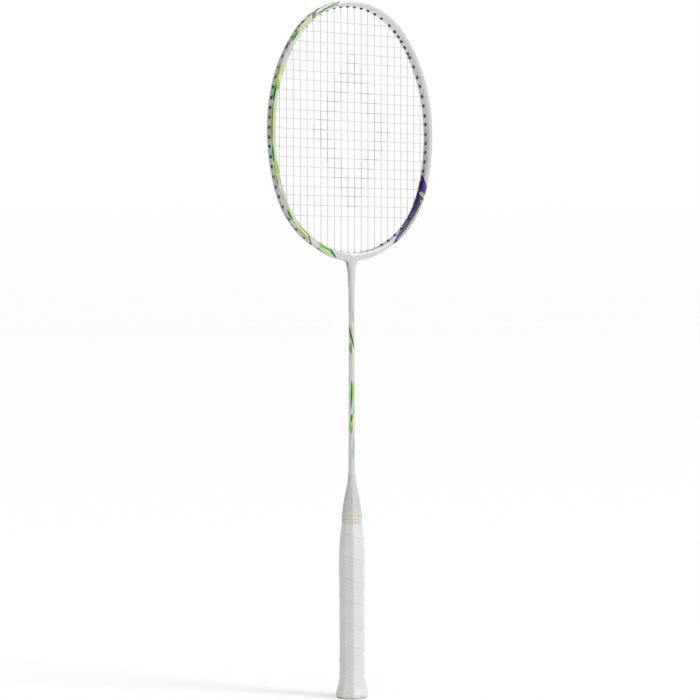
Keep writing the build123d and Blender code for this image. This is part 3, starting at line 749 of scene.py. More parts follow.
MATERIALS = {
    "frame_paint": frame_paint(),
    "shaft_paint": shaft_paint(),
    "cone_plastic": cone_plastic(),
    "tape_cream": tape_cream(),
    "grip_cover": grip_cover(),
    "cap_plastic": cap_plastic(),
    "badge_plastic": badge_plastic(),
    "string_nylon": string_nylon(),
    "grommet_black": grommet_nylon("grommet_black", rgb(9, 9, 10), rgb(20, 20, 21)),
    "grommet_pale": grommet_nylon("grommet_pale", rgb(196, 196, 194), rgb(214, 214, 212)),
    "bare_carbon": bare_carbon(),
    "core_wood": core_wood(),
    "pin_steel": pin_steel(),
}


# ---- Head frame ----
def paint_corner(x, s, u_front, u_back):
    """Paint coordinates: the ribbon is on the left front, the flash on the right, the back is reversed."""
    return (s, u_front, u_back) if x < 0 else (s, u_back, u_front)


def tube_outline():
    """The tube's section as (offset, y) from the middle of its front outwards, and the distance round it."""
    half = TUBE_DEPTH / 2
    lip = GROOVE_WIDTH / 2
    corners = [
        (TUBE_OUT, -half, TUBE_CORNER), (TUBE_OUT, -lip, GROOVE_LIP),
        (FLOOR, -lip, GROOVE_CORNER), (FLOOR, lip, GROOVE_CORNER),
        (TUBE_OUT, lip, GROOVE_LIP), (TUBE_OUT, half, TUBE_CORNER),
        (-TUBE_IN, half, TUBE_CORNER), (-TUBE_IN, -half, TUBE_CORNER),
    ]
    points = rounded(corners, 4, 6)
    gaps = [hypot(*(b - a)) for a, b in zip(points, points[1:] + points[:1])]
    return points, np.concatenate(([0.0], np.cumsum(gaps)))


def hoop_stations():
    """(angle from the top, distance from the top centre) round the whole head. The last is the top again."""
    stations = [(0.0, 0.0)]
    for _, _, radius, start, end in ARCS:
        length = radius * radians(end - start)
        steps = max(2, round(length / HOOP_STEP))
        walked = stations[-1][1]
        shares = [k / steps for k in range(1, steps + 1)]
        stations += [(start + (end - start) * share, walked + length * share) for share in shares]
    return stations


def make_head_frame():
    outline, walked = tube_outline()
    stations = hoop_stations()
    rings = []
    for angle, _ in stations[:-1]:
        spots = [(hoop_point(angle, offset), y) for offset, y in outline]
        rings.append([(x, y, z) for (x, z), y in spots])
    obj = piece("head_frame_lacquered", *loft(rings, closed=True), "frame_paint", "head_frame", sharp=50.0)

    half_round, half_hoop = walked[-1] / 2, stations[-1][1] / 2
    values = []
    for (_, start), (_, end) in zip(stations, stations[1:]):
        side = 1 if start + end < 2 * half_hoop else -1
        for one, two in zip(walked, walked[1:]):
            past_back = one + two > 2 * half_round
            for s, u in ((start, one), (start, two), (end, two), (end, one)):
                u_front = u - 2 * half_round if past_back else u
                values.append(paint_corner(side, min(s, 2 * half_hoop - s), u_front, half_round - u))
    add_attribute(obj, "paint", values)


# ---- Throat fairing ----
FAIRING_REACH = 26.5      # degrees of the closing arc from the middle to the fairing's tip
FAIRING_SWELL = 2.6       # how far its underside stands below the tube's crest in the middle
FAIRING_TOP = -0.4        # the fairing's upper edge, as an offset on the tube
FAIRING_PROUD = 0.03      # it stands this far out of the tube all round
FAIRING_ROUND = 0.6       # its corners are this much rounder than the tube's in the middle
SLOT_START = 1.5          # degrees from the middle where the string slot begins
SLOT_END = 30.0           # and where it ends
SLOT_WIDTH = 4.1
SLOT_SINK = 0.6           # the slot goes this far below the groove's floor
NECK_TOP = 428.0
NECK_BOTTOM_R = 2.98
NECK_TOP_R = 4.5
NECK_FLARE_Z = 410.0      # the neck starts to spread sideways here, by this much at its top
NECK_FLARE = 4.2
NECK_BLEND = 2.4          # reach of the soft join between the neck and the tube
CELL = 0.4                # mesh spacing
THROAT_MARGIN = (11.0, 2.4, 10.0)     # room for the mesh round the CAD fairing's box
FACE_PAINT = 0.8          # paint distance for each millimetre across the fairing's depth


def smooth_min(a, b, blend):
    h = np.clip(0.5 + 0.5 * (b - a) / blend, 0.0, 1.0)
    return b + (a - b) * h - blend * h * (1.0 - h)


def rounded_box(x, y, half_x, half_y, corner):
    qx, qy = np.abs(x) - half_x + corner, np.abs(y) - half_y + corner
    return np.minimum(np.maximum(qx, qy), 0.0) + np.hypot(np.maximum(qx, 0.0), np.maximum(qy, 0.0)) - corner


def throat_distance(p):
    """Signed distance, near enough, to the throat: the tube's lower side, its swelling and the neck."""
    x, y, z = p[..., 0], p[..., 1], p[..., 2]
    down = BOTTOM_Z - z
    offset = np.hypot(x, down) - BOTTOM_R
    angle = np.degrees(np.abs(np.arctan2(x, down)))
    share = np.clip(1.0 - angle / FAIRING_REACH, 0.0, 1.0)
    outer = TUBE_OUT + FAIRING_SWELL * share * (2.0 - share) + FAIRING_PROUD
    middle, half = (outer - TUBE_IN) / 2, (outer + TUBE_IN) / 2
    corner_r = TUBE_CORNER + FAIRING_ROUND * share
    swelling = rounded_box(offset - middle, y, half, TUBE_DEPTH / 2 + FAIRING_PROUD, corner_r)
    rise = np.clip((z - NECK_BOTTOM) / (NECK_TOP - NECK_BOTTOM), 0.0, 1.0)
    radius = NECK_BOTTOM_R + (NECK_TOP_R - NECK_BOTTOM_R) * rise
    flare = NECK_FLARE * np.clip((z - NECK_FLARE_Z) / (NECK_TOP - NECK_FLARE_Z), 0.0, 1.0) ** 2
    neck = np.hypot(x * radius / (radius + flare), y) - radius
    neck = np.maximum(neck, np.maximum(NECK_BOTTOM - z, z - NECK_TOP))
    whole = smooth_min(swelling, neck, NECK_BLEND)
    whole = np.maximum(whole, FAIRING_TOP - offset)
    whole = np.maximum(whole, (angle - FAIRING_REACH) * radians(BOTTOM_R))
    slot = np.maximum(np.abs(y) - SLOT_WIDTH / 2, (SLOT_START - angle) * radians(BOTTOM_R))
    slot = np.maximum(slot, (angle - SLOT_END) * radians(BOTTOM_R))
    return np.maximum(whole, -np.maximum(slot, FLOOR - SLOT_SINK - offset))


def surface(distance, low, high, cell):
    """Closed quad mesh where the distance is zero: a vertex per crossed cell, then drawn onto the surface."""
    axes = [np.arange(a, b + cell, cell) for a, b in zip(low, high)]
    grid = np.stack(np.meshgrid(*axes, indexing="ij"), axis=-1)
    value = distance(grid)
    inside = value < 0.0
    shape = [n - 1 for n in inside.shape]
    total = np.zeros(shape + [3])
    crossings = np.zeros(shape)
    corners = [(i, j, k) for i in (0, 1) for j in (0, 1) for k in (0, 1)]
    for start in corners:
        for axis in range(3):
            if start[axis]:
                continue
            end = tuple(1 if n == axis else start[n] for n in range(3))
            cut = [tuple(slice(c, c + n) for c, n in zip(corner, shape)) for corner in (start, end)]
            crossed = inside[cut[0]] != inside[cut[1]]
            one, two = value[cut[0]], value[cut[1]]
            share = np.where(crossed, one / np.where(crossed, one - two, 1.0), 0.0)
            point = grid[cut[0]] + share[..., None] * (grid[cut[1]] - grid[cut[0]])
            total += np.where(crossed[..., None], point, 0.0)
            crossings += crossed
    used = crossings > 0
    index = np.full(shape, -1)
    index[used] = np.arange(used.sum())
    verts = total[used] / crossings[used][:, None]
    probe = 0.02
    for _ in range(4):
        slopes = [distance(verts + step) - distance(verts - step) for step in np.eye(3) * probe]
        gradient = np.stack(slopes, axis=-1) / (2 * probe)
        pull = distance(verts) / np.maximum((gradient ** 2).sum(-1), 0.3)
        verts = verts - 0.7 * np.clip(pull, -0.3 * cell, 0.3 * cell)[:, None] * gradient
    faces = []
    for axis in range(3):
        one, two = [n for n in range(3) if n != axis]
        low_cut = tuple(slice(0, -1) if n == axis else slice(1, -1) for n in range(3))
        high_cut = tuple(slice(1, None) if n == axis else slice(1, -1) for n in range(3))
        spots = np.argwhere(inside[low_cut] != inside[high_cut]) + [0 if n == axis else 1 for n in range(3)]
        for spot in spots:
            ring = []
            for a, b in ((0, 0), (-1, 0), (-1, -1), (0, -1)):
                cell_index = spot.copy()
                cell_index[one] += a
                cell_index[two] += b
                ring.append(int(index[tuple(cell_index)]))
            if inside[tuple(spot)] == (axis == 1):
                ring.reverse()
            faces.append(tuple(ring))
    return verts, faces


def make_throat():
    low, high = node_box("throat_fairing")
    margin = Vector(THROAT_MARGIN)
    verts, faces = surface(throat_distance, low - margin, high + margin, CELL)
    obj = piece("throat_fairing_lacquered", verts, faces, "frame_paint", "throat_fairing", sharp=60.0)
    x, y, z = verts.T
    offset = np.hypot(x, BOTTOM_Z - z) - BOTTOM_R
    s = HALF_HOOP - BOTTOM_R * np.abs(np.arctan2(x, BOTTOM_Z - z))
    u_front = offset + FACE_PAINT * (TUBE_DEPTH / 2 + y)
    u_back = offset + FACE_PAINT * (TUBE_DEPTH / 2 - y)
    values = []
    for face in faces:
        side = sum(x[i] for i in face)
        values += [paint_corner(side, s[i], u_front[i], u_back[i]) for i in face]
    add_attribute(obj, "paint", values)


# ---- Shaft and grommets ----
def circle_ring(radius, z, count=48):
    return [(radius * cos(2 * pi * i / count), radius * sin(2 * pi * i / count), z) for i in range(count)]


def make_shaft():
    low, high = node_box("shaft")
    levels = np.linspace(low.z, high.z, 80)
    radii = np.interp(levels, *zip(*SHAFT_KNOTS))
    rings = [circle_ring(radius, z) for radius, z in zip(radii, levels)]
    rings += [circle_ring(SHAFT_BORE_R, z) for z in levels[::-1]]
    piece("shaft_lacquered", *loft(rings, closed=True), "shaft_paint", "shaft")


HEAD_RISE = 0.82         # how far a grommet's head stands above its string saddle
SADDLE = (0.72, 0.86)    # the saddle's floor ends and its sides are full height this far from the middle
RIM_EDGE = 0.12          # how much lower the head is at its rim
BORE_EDGE = 0.1          # and where the bore comes out
COLLAR = 0.54            # the collar on the tube's inner face stands this far out of the barrel


def grommet_ring(turn):
    """The grommet's closed half section at a turn about its hole, as (radius, offset), from the bore."""
    seat = FLOOR + SEAT_GAP
    top = seat + FLANGE_T
    rim = FLANGE_ALONG + (FLANGE_R - FLANGE_ALONG) * sin(turn) ** 2
    section = [
        (BORE_R, MOUTH + 0.15), (BORE_R + 0.12, MOUTH),
        (BARREL_R + 0.1, MOUTH), (BARREL_R + 0.26, MOUTH + 0.14), (BARREL_R + 0.32, -TUBE_IN - 0.4),
        (BARREL_R + COLLAR - 0.04, -TUBE_IN - 0.2), (BARREL_R + COLLAR, 0.3 - TUBE_IN),
        (BARREL_R, 0.5 - TUBE_IN), (BARREL_R, seat), (rim, seat), (rim, top),
    ]
    for radius in (rim, rim - 0.12, 1.35, 1.15, 0.95, BORE_R + 0.06, BORE_R):
        reach = abs(radius * sin(turn))
        share = min(max((reach - SADDLE[0]) / (SADDLE[1] - SADDLE[0]), 0.0), 1.0)
        rise = HEAD_RISE * share * share * (3.0 - 2.0 * share)
        edge = {rim: RIM_EDGE, BORE_R: BORE_EDGE}.get(radius, 0.0)
        section.append((radius, top + rise - edge + 0.01))
    return section


def hole_frame(angle):
    """Centre, outward, along and across directions of a hole."""
    x, z = hoop_point(angle, 0.0)
    outward = np.array((sin(radians(angle)), 0.0, cos(radians(angle))))
    along = np.array((cos(radians(angle)), 0.0, -sin(radians(angle))))
    return np.array((x, 0.0, z)), outward, along, np.array((0.0, 1.0, 0.0))


def grommet_at(angle, sides=32):
    centre, outward, along, across = hole_frame(angle)
    rings = []
    for k in range(sides):
        turn = 2 * pi * k / sides
        arm = along * cos(turn) + across * sin(turn)
        rings.append([centre + outward * offset + arm * radius for radius, offset in grommet_ring(turn)])
    return loft(rings, closed=True)


def make_grommets():
    for name in sorted(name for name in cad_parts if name.startswith("grommets_")):
        low, high = node_box(name)
        inside = []
        for angle in hole_angles:
            x, z = hoop_point(angle, 0.0)
            if low.x <= x <= high.x and low.z <= z <= high.z:
                inside.append(grommet_at(angle))
        slot = "grommet_pale" if name == "grommets_throat" else "grommet_black"
        piece(f"{name}_moulded", *gather(inside), slot, name)


# ---- Strings ----
def groove_stops(start, end):
    """Stops along the groove from one hole to another, with one over each hole passed on the way."""
    low, high = sorted((start, end))
    passed = sorted((angle for angle in hole_angles if low + 0.1 < angle < high - 0.1), reverse=start > end)
    return [(angle, LOOP) for angle in [start] + passed + [end]]


def groove_loop(start, end):
    """Out through one hole, along the groove and back in through another."""
    return [(start, MOUTH)] + groove_stops(start, end) + [(end, MOUTH)]


def short_loop(start, end):
    """The same where no hole is passed on the way, or where the string lies over those it passes."""
    return [(start, MOUTH), (start, LOOP), (end, LOOP), (end, MOUTH)]


def corner(stop, y):
    x, z = hoop_point(*stop)
    return (x, y, z)


def main_reach(index):
    """Heights of a main's two ends, the lower one first."""
    return hoop_point(main_bottom[index], MOUTH)[1], hoop_point(main_top[index], MOUTH)[1]


def weave(column, row):
    """Side on which a main passes a cross: +1 behind, -1 in front."""
    return 1 if (column + row) % 2 == 0 else -1


def main_run(index, side, down):
    """Points of one main between its mouths."""
    low, high = main_reach(index)
    column = index if side > 0 else -index - 1
    rows = [row for row, z in enumerate(CROSS_HEIGHTS) if low < z < high]
    points = [(side * main_x[index], weave(column, row) * MAIN_WAVE, CROSS_HEIGHTS[row]) for row in rows]
    return points if down else points[::-1]


def cross_run(row, rightwards):
    """Points of one cross between its mouths."""
    z = CROSS_HEIGHTS[row]
    points = []
    for column in range(-MAINS_PER_SIDE, MAINS_PER_SIDE):
        index = column if column >= 0 else -column - 1
        low, high = main_reach(index)
        if low < z < high:
            x = main_x[index] if column >= 0 else -main_x[index]
            points.append((x, -weave(column, row) * CROSS_WAVE, z))
    return points if rightwards else points[::-1]


SHARP_TURN = 0.6         # radians
SHARP_BEND = (0.8, 7)    # how far from a corner its bend starts, and its steps, at a sharp turn
SLIGHT_BEND = (2.4, 3)   # and at a slight one
BEND_SHARE = 0.42        # most of a run that one bend may take up
STRAIGHT = 0.02          # radians of turn that count as none
WEAVE_STEPS = 5          # from one crossing to the next


def string_line(points, woven):
    """Samples of a string: bends are rounded and the weave rises and falls smoothly between crossings."""
    points = [np.array(p, float) for p in points]
    line = [points[0]]
    for i in range(1, len(points)):
        before, here = points[i - 1], points[i]
        if woven[i - 1] and woven[i]:
            for k in range(1, WEAVE_STEPS + 1):
                t = k / WEAVE_STEPS
                step = before + (here - before) * t
                step[1] = before[1] + (here[1] - before[1]) * (0.5 - 0.5 * cos(pi * t))
                line.append(step)
            continue
        if i + 1 == len(points):
            line.append(here)
            continue
        after = points[i + 1]
        one, two = before - here, after - here
        reach_one, reach_two = np.linalg.norm(one), np.linalg.norm(two)
        turn = np.arccos(np.clip(-(one @ two) / reach_one / reach_two, -1.0, 1.0))
        if turn < STRAIGHT:
            line.append(here)
            continue
        bend, steps = SHARP_BEND if turn > SHARP_TURN else SLIGHT_BEND
        reach = min(bend, BEND_SHARE * reach_one, BEND_SHARE * reach_two)
        enter, leave = here + one / reach_one * reach, here + two / reach_two * reach
        for k in range(steps + 1):
            t = k / steps
            line.append((1 - t) ** 2 * enter + 2 * t * (1 - t) * here + t * t * leave)
    return line


MIN_STEP = 0.02          # shorter steps of a line are left out


def tube(line, radius, sides=10):
    """A closed tube along a line, with the length and turn at each vertex."""
    line = np.asarray(line)
    line = line[np.concatenate(([True], np.linalg.norm(np.diff(line, axis=0), axis=1) > MIN_STEP))]
    tangents = np.gradient(line, axis=0)
    tangents /= np.linalg.norm(tangents, axis=1)[:, None]
    lengths = np.concatenate(([0.0], np.cumsum(np.linalg.norm(np.diff(line, axis=0), axis=1))))
    arm = np.cross(tangents[0], (0.0, 1.0, 0.0))
    turns = [2 * pi * k / sides for k in range(sides)]
    rings, cords = [], []
    for point, tangent, length in zip(line, tangents, lengths):
        arm = arm - tangent * (arm @ tangent)
        arm /= np.linalg.norm(arm)
        side = np.cross(tangent, arm)
        rings.append([point + radius * (arm * cos(t) + side * sin(t)) for t in turns])
        cords += [(length, t) for t in turns]
    return *loft(rings), cords


COIL_R = 0.5
COIL_SINK = 0.3          # the coil starts this far inside the hole's mouth
COIL_RISE = 0.62         # per turn
COIL_TURNS = 2.4
COIL_STEPS = 40
TAIL = ((0.5, 0.1), (1.0, 0.5), (1.3, 1.2))     # how far its points are ahead and inwards


def knot(angle, side):
    """A tie-off: a tight coil of string at a hole's mouth, and its cut tail."""
    centre, outward, along, across = hole_frame(angle)
    start = centre + outward * (MOUTH + COIL_SINK) + across * side * KNOT_OFFSET
    line = []
    for k in range(COIL_STEPS + 1):
        turns = COIL_TURNS * k / COIL_STEPS
        arm = along * cos(2 * pi * turns) + across * sin(2 * pi * turns)
        line.append(start - outward * (COIL_RISE * turns) + COIL_R * arm)
    last = line[-1]
    heading = (last - line[-2]) / np.linalg.norm(last - line[-2])
    return line + [last + heading * ahead - outward * inwards for ahead, inwards in TAIL]


def main_points():
    """Corners of the main string from its left tail to its right tail, which are woven, and its knots."""
    halves = []
    tail_in = cross_angles[SHARED_BOTTOM[MAINS_PER_SIDE]]
    for side in (-1, 1):
        points, woven = [], []
        for index in range(MAINS_PER_SIDE):
            down = index % 2 == 0
            run = main_run(index, side, down)
            ends = (main_bottom if down else main_top)[index:index + 2]
            last = len(ends) == 1
            start, end = (ends[0], tail_in) if last else ends
            if side < 0:
                start, end = mirrored(start), mirrored(end)
            stops = short_loop(start, end) if last else groove_loop(start, end)
            points += run + [corner(stop, BED_OFFSET) for stop in stops]
            woven += [True] * len(run) + [False] * len(stops)
        halves.append((points, woven))
    loop = short_loop(mirrored(main_top[0]), main_top[0])
    left, right = halves
    points = left[0][::-1] + [corner(stop, BED_OFFSET) for stop in loop] + right[0]
    woven = left[1][::-1] + [False] * len(loop) + right[1]
    return points, woven, [(mirrored(tail_in), 1), (tail_in, 1)]


def cross_points():
    """Corners of the cross string from the top to the bottom, which are woven, and its knots."""
    tail_start, tail_end = mirrored(main_top[6]), main_bottom[7]
    stops = short_loop(tail_start, mirrored(cross_angles[0]))
    points = [corner(stop, -BED_OFFSET) for stop in stops]
    woven = [False] * len(stops)
    for row in range(len(CROSS_HEIGHTS)):
        run = cross_run(row, row % 2 == 0)
        if row + 1 < len(CROSS_HEIGHTS):
            here, after = cross_angles[row], cross_angles[row + 1]
            stops = groove_loop(mirrored(here), mirrored(after)) if row % 2 else groove_loop(here, after)
        else:
            stops = short_loop(cross_angles[row], tail_end)
        points += run + [corner(stop, -BED_OFFSET) for stop in stops]
        woven += [True] * len(run) + [False] * len(stops)
    return points, woven, [(tail_start, -1), (tail_end, -1)]


def make_string(node, points, woven, knots):
    parts = [tube(string_line(points, woven), STRING_R)]
    parts += [tube(knot(angle, side), STRING_R) for angle, side in knots]
    verts, faces = gather([part[:2] for part in parts])
    cords = [cord for part in parts for cord in part[2]]
    obj = piece(f"{node}_woven", verts, faces, "string_nylon", node, sharp=60.0)
    values = []
    for face in faces:
        turns = [cords[i][1] for i in face]
        if max(turns) - min(turns) > pi:
            turns = [turn + 2 * pi if turn < pi else turn for turn in turns]
        values += [(cords[i][0], turn, 0.0) for i, turn in zip(face, turns)]
    add_attribute(obj, "cord", values)


# ---- Handle ----
def octagon_outline(width, corner_r, inset=0.0, steps=4, arc_steps=4):
    """Rounded octagon of the handle, as wide as given in X, as points from the middle of its right side."""
    ratio = width / GRIP_W
    half_w, half_d = width / 2 - inset, GRIP_D * ratio / 2 - inset
    cut = GRIP_CUT * ratio - (2.0 - 2.0 ** 0.5) * inset
    corners = [
        (half_w, half_d - cut), (half_w - cut, half_d), (cut - half_w, half_d), (-half_w, half_d - cut),
        (-half_w, cut - half_d), (cut - half_w, -half_d), (half_w - cut, -half_d), (half_w, cut - half_d),
    ]
    return np.array(rounded([(x, y, corner_r) for x, y in corners], steps, arc_steps))


def outward_normals(outline):
    ahead = np.roll(outline, -1, axis=0) - np.roll(outline, 1, axis=0)
    normals = np.stack((ahead[:, 1], -ahead[:, 0]), axis=1)
    return normals / np.linalg.norm(normals, axis=1)[:, None]


def directions(outline):
    """The outline's points brought onto a circle of radius 1."""
    return outline / np.linalg.norm(outline, axis=1)[:, None]


def lifted(outline, z):
    return [(x, y, z) for x, y in outline]


def smooth_profile(knots, z):
    """Width at height z along a smooth line through (z, width) knots."""
    heights = [k[0] for k in knots]
    widths = [k[1] for k in knots]
    slopes = np.gradient(widths, heights)
    i = int(np.clip(np.searchsorted(heights, z) - 1, 0, len(knots) - 2))
    span = heights[i + 1] - heights[i]
    t = (z - heights[i]) / span
    curve = (2 * t ** 3 - 3 * t ** 2 + 1) * widths[i] + (t ** 3 - 2 * t ** 2 + t) * span * slopes[i]
    return curve + (-2 * t ** 3 + 3 * t ** 2) * widths[i + 1] + (t ** 3 - t ** 2) * span * slopes[i + 1]


# Widths of the grip in X, by height.
WRAP_KNOTS = [
    (BUTT_Z, 26.7), (12.8, 24.9), (17.7, 23.1), (26.0, 22.8), (100.0, 22.8), (146.0, 22.8), (154.0, 22.0),
    (166.0, 18.9), (GRIP_TOP, 18.4),
]
WRAP_PITCH = 21.5        # height of one turn of the grip tape
WRAP_STEP = 0.4          # mesh spacing up the grip
RIB_PITCH = 3.35
RIB_DEPTH = 0.075
RIB_START = 0.8          # the first valley's distance from the tape's edge
LAP = 0.34               # step where one turn lies over the last
LAP_FADE = 5.0
LAP_EDGE = (0.5, 0.22)   # width and depth of the crease at the tape's edge
GRIP_T = 1.7             # the wrap's thickness
END_TUCK = (0.6, 0.25)   # the grip's ends turn in over this height by this much


def wrap_relief(z, turn):
    """How far the grip stands proud, and how deep in the valleys, at a height and a share of a turn; the
    second number is the mask of painted shade in the valleys and the crease at the tape's edge.
    """
    across = (z + WRAP_PITCH * turn) % WRAP_PITCH
    lap = LAP * np.exp(-across / LAP_FADE)
    edge = np.clip(1.0 - across / LAP_EDGE[0], 0.0, 1.0)
    valley_and_shade = np.clip((np.cos(2 * pi * (across - RIB_START) / RIB_PITCH) - 0.35) / 0.65, 0.0, 1.0) ** 1.3
    return lap - RIB_DEPTH * valley_and_shade - LAP_EDGE[1] * edge, np.maximum(valley_and_shade, edge)


def make_grip_wrap():
    unit = octagon_outline(GRIP_W + WIDTH_GAIN, 1.3, arc_steps=5)
    normals = outward_normals(unit)
    gaps = np.linalg.norm(np.roll(unit, -1, axis=0) - unit, axis=1)
    turns = np.concatenate(([0.0], np.cumsum(gaps)))[:-1] / gaps.sum()
    rings, valley_shade_marks = [], []
    for z in np.arange(BUTT_Z, GRIP_TOP + 0.2, WRAP_STEP):
        scale = smooth_profile(WRAP_KNOTS, z) / GRIP_W
        proud, valley_and_shade = wrap_relief(z, turns)
        fade = np.clip(min(z - BUTT_Z, GRIP_TOP - z) / END_TUCK[0], 0.0, 1.0)
        ring = unit * scale + normals * (proud * fade - END_TUCK[1] * (1.0 - fade))[:, None]
        rings.append(lifted(ring, z))
        valley_shade_marks += [(turn, dent, 0.0) for turn, dent in zip(turns, valley_and_shade)]
    for z in (GRIP_TOP, 150.0, 90.0, 17.7, BUTT_Z):
        rings.append(lifted(octagon_outline(smooth_profile(WRAP_KNOTS, z), 2.0, GRIP_T, arc_steps=5), z))
        valley_shade_marks += [(0.0, 0.0, 0.0)] * len(unit)
    verts, faces = loft(rings, closed=True)
    obj = piece("grip_wrap_ribbed", verts, faces, "grip_cover", "grip_wrap", sharp=60.0)
    # the wrap attribute keeps each corner's share of a turn and the mask of painted shade for the grip's
    # valleys
    add_attribute(obj, "wrap", [valley_shade_marks[i] for face in faces for i in face])


TAPE_RIDGE = 0.34        # height of a ridge
TAPE_END = (0.25, 0.04)  # its ends turn in by this much over this share of its height


def make_tape():
    """The finishing tape: soft ridges round the top of the grip."""
    low, high = node_box("finishing_tape")
    width = high.x - low.x
    height = high.z - low.z
    rings = []
    for z in np.linspace(low.z, high.z, 40):
        share = (z - low.z) / height
        ridge = TAPE_RIDGE * abs(sin(pi * (z - low.z) / TAPE_RIDGE_PITCH)) ** 0.6
        end = TAPE_END[0] * max(0.0, 1.0 - min(share, 1.0 - share) / TAPE_END[1])
        rings.append(lifted(octagon_outline(width - 0.1 + 2 * ridge - 2 * end, 1.2), z))
    rings += [lifted(octagon_outline(width - 1.6, 1.6), z) for z in (high.z, low.z)]
    piece("finishing_tape_ridged", *loft(rings, closed=True), "tape_cream", "finishing_tape", sharp=60.0)


# Widths of the cone in X, by height.
CONE_KNOTS = [
    (166.0, 17.3), (CONE_SKIRT_TOP, 17.3), (188.0, 15.7), (195.7, 13.4), (204.4, 10.1), (211.0, 8.2),
    (218.0, 7.3),
]
CONE_LIP = 0.35          # radius of its upper edge
CONE_BORE_R = 3.32
CONE_ROUND = (192.0, 216.0)     # it turns from an octagon into a circle between these heights


def make_cone():
    """The cone: octagonal where it meets the tape, round where it meets the shaft."""
    low, high = node_box("handle_cone")
    rings = []
    for z in np.linspace(low.z, high.z, 70):
        width = smooth_profile(CONE_KNOTS, z)
        if z > high.z - CONE_LIP:
            width -= CONE_LIP * ((z - high.z + CONE_LIP) / CONE_LIP) ** 2
        blend = np.clip((z - CONE_ROUND[0]) / (CONE_ROUND[1] - CONE_ROUND[0]), 0.0, 1.0)
        blend = blend * blend * (3.0 - 2.0 * blend)
        facet = octagon_outline(width, min(0.6 * width / CONE_KNOTS[0][1] + 1.6 * blend, 0.3 * width))
        rings.append(lifted(facet * (1.0 - blend) + directions(facet) * width / 2 * blend, z))
    bore = CONE_BORE_R * directions(np.array(rings[-1])[:, :2])
    rings += [lifted(bore, high.z), lifted(bore, low.z)]
    piece("handle_cone_moulded", *loft(rings, closed=True), "cone_plastic", "handle_cone", sharp=40.0)


# Widths of the butt cap in X, by height.
CAP_KNOTS = [(0.0, 25.0), (0.5, 26.9), (1.4, 28.4), (2.6, 29.2), (4.2, 29.3), (7.0, 28.2), (BUTT_Z, 26.6)]
CAP_HOLLOW_W = 23.2
CAP_FLOOR_Z = 3.0
CAP_EDGE = 0.5           # height of the bevel on its upper edge


def make_butt_cap():
    """The butt cap: a rounded foot, a recess for the badge and a hollow that takes the core."""
    low, high = node_box("butt_cap")
    badge = node_box("butt_badge")[1]
    rings = []
    for z in np.concatenate((np.linspace(0.0, 2.0, 12), np.linspace(2.4, BUTT_Z, 18))):
        width = smooth_profile(CAP_KNOTS, z) - CAP_EDGE * max(0.0, z - BUTT_Z + CAP_EDGE)
        rings.append(lifted(octagon_outline(width + WIDTH_GAIN, 2.0), low.z + z))
    hollow = octagon_outline(CAP_HOLLOW_W, 1.0)
    rings += [lifted(hollow, high.z), lifted(hollow, CAP_FLOOR_Z)]
    circle = directions(np.array(rings[0])[:, :2])
    hole, recess = circle * (badge.x - 0.5), circle * (badge.x + 0.05)
    rings += [lifted(hole, CAP_FLOOR_Z), lifted(hole, badge.z + 0.6)]
    rings += [lifted(recess, badge.z + 0.02), lifted(recess, low.z)]
    piece("butt_cap_moulded", *loft(rings, closed=True), "cap_plastic", "butt_cap", sharp=50.0)


def make_badge():
    """The blank badge, slightly dished, with a raised rim."""
    low, high = node_box("butt_badge")
    radius = high.x
    profile = [(radius, high.z), (radius, low.z + 0.15), (radius - 0.15, low.z + 0.02)]
    profile += [(radius - 1.2, low.z), (radius - 1.4, low.z + 0.18)]
    profile += [(radius * k / 8, low.z + 0.18 + 0.1 * (1 - k / 8)) for k in range(6, 0, -1)]
    rings = [circle_ring(r, z, 64) for r, z in profile]
    piece("butt_badge_blank", *loft(rings), "badge_plastic", "butt_badge", sharp=40.0)


# ---- Making everything ----
make_head_frame()
make_throat()
make_shaft()
make_grommets()
make_string("main_string", *main_points())
make_string("cross_string", *cross_points())
make_grip_wrap()
make_tape()
make_cone()
make_butt_cap()
make_badge()

# The CAD nodes that keep their own meshes, and their finishes.
KEPT_NODES = {
    "t_joint": "bare_carbon", "handle_core": "core_wood", "shaft_pin": "pin_steel", "grip_tack": "pin_steel",
}
for node, finish in KEPT_NODES.items():
    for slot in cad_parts[node].material_slots:
        slot.material = MATERIALS[finish]


# ---- Camera, floor and light ----
CAMERA_AZIMUTH = 33.27    # degrees to the left of the front
CAMERA_DISTANCE = 2.307   # metres
CAMERA_HEIGHT = 0.3832
AIM_HEIGHT = 0.3376
AIM_LEFT = 0.00154        # it looks this far to the left of the middle
LENS = 122.35             # millimetres, on a 36 mm sensor
ROLL = -0.09              # degrees

away = Vector((-sin(radians(CAMERA_AZIMUTH)), -cos(radians(CAMERA_AZIMUTH)), 0.0))
rightwards = Vector((-away.y, away.x, 0.0))
camera = bpy.data.objects.new("camera", bpy.data.cameras.new("camera"))
camera.data.lens = LENS
camera.data.sensor_width = 36.0
camera.data.clip_end = 50.0
camera.location = away * CAMERA_DISTANCE + Vector((0.0, 0.0, CAMERA_HEIGHT))
aim = Vector((0.0, 0.0, AIM_HEIGHT)) - rightwards * AIM_LEFT
aimed = (aim - camera.location).to_track_quat("-Z", "Y")
camera.rotation_euler = (aimed @ Quaternion((0.0, 0.0, 1.0), radians(ROLL))).to_euler()
bpy.context.scene.collection.objects.link(camera)
bpy.context.scene.camera = camera

FLOOR_REACH = 60.0       # metres
FLOOR_WHITE = (0.97, 0.97, 0.97, 1.0)
DIM_SIDE = 0.03          # the studio's brightness to the left
BRIGHT_SIDE = 0.14       # and to the right
OVERHEAD = 1.35
BACKDROP_LOW = 0.98      # the backdrop's white where it meets the floor
KEY_STRENGTH = 1.15
KEY_AZIMUTH = 32.0       # degrees to the right of the front
KEY_RISE = 28.0
KEY_SIZE = 20.0          # its width, in degrees


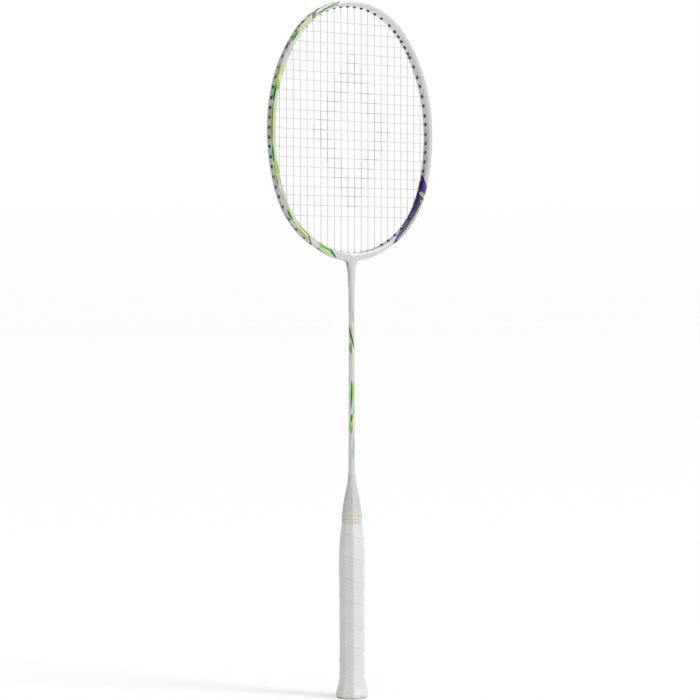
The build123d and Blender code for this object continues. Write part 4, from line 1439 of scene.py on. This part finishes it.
def make_floor():
    mesh = bpy.data.meshes.new("floor")
    corners = [(x * FLOOR_REACH, y * FLOOR_REACH, 0.0) for x, y in ((-1, -1), (1, -1), (1, 1), (-1, 1))]
    mesh.from_pydata(corners, [], [(0, 1, 2, 3)])
    floor = bpy.data.objects.new("floor", mesh)
    graph = Finish("floor", Roughness=0.9, Base_Color=FLOOR_WHITE)
    mesh.materials.append(graph.material)
    bpy.context.scene.collection.objects.link(floor)


def make_world():
    """A white studio, dimmer to the camera's left than to its right, and brightest overhead."""
    world = bpy.data.worlds.new("studio")
    bpy.context.scene.world = world
    world.use_nodes = True
    world.node_tree.nodes.clear()
    graph = Graph(world.node_tree)
    direction = graph.value("ShaderNodeTexCoord", {}, "Generated")
    vectors = {0: direction, 1: rightwards}
    side = graph.value("ShaderNodeVectorMath", vectors, "Value", operation="DOT_PRODUCT")
    height = graph.split(direction)[2]
    level = graph.ramp(side, -0.25, 0.25, DIM_SIDE, BRIGHT_SIDE)
    level = level + graph.ramp(height, 0.35, 0.9, 0.0, OVERHEAD)
    seen = graph.value("ShaderNodeLightPath", {}, "Is Camera Ray")
    backdrop = graph.ramp(height, 0.0, 0.06, BACKDROP_LOW, 1.0)
    level = graph.value("ShaderNodeMix", {0: seen, 2: level, 3: backdrop}, data_type="FLOAT")
    glow = graph.value("ShaderNodeBackground", {"Color": (1.0, 1.0, 1.0, 1.0), "Strength": level})
    graph.node("ShaderNodeOutputWorld", {0: glow})


def make_key():
    """A soft key light from the right."""
    key = bpy.data.objects.new("key", bpy.data.lights.new("key", "SUN"))
    key.data.energy = KEY_STRENGTH
    key.data.angle = radians(KEY_SIZE)
    turn, rise = radians(KEY_AZIMUTH), radians(KEY_RISE)
    source = Vector((sin(turn) * cos(rise), -cos(turn) * cos(rise), sin(rise)))
    key.rotation_euler = source.to_track_quat("Z", "Y").to_euler()
    bpy.context.scene.collection.objects.link(key)


make_floor()
make_key()
make_world()
bpy.context.scene.view_settings.view_transform = "Standard"
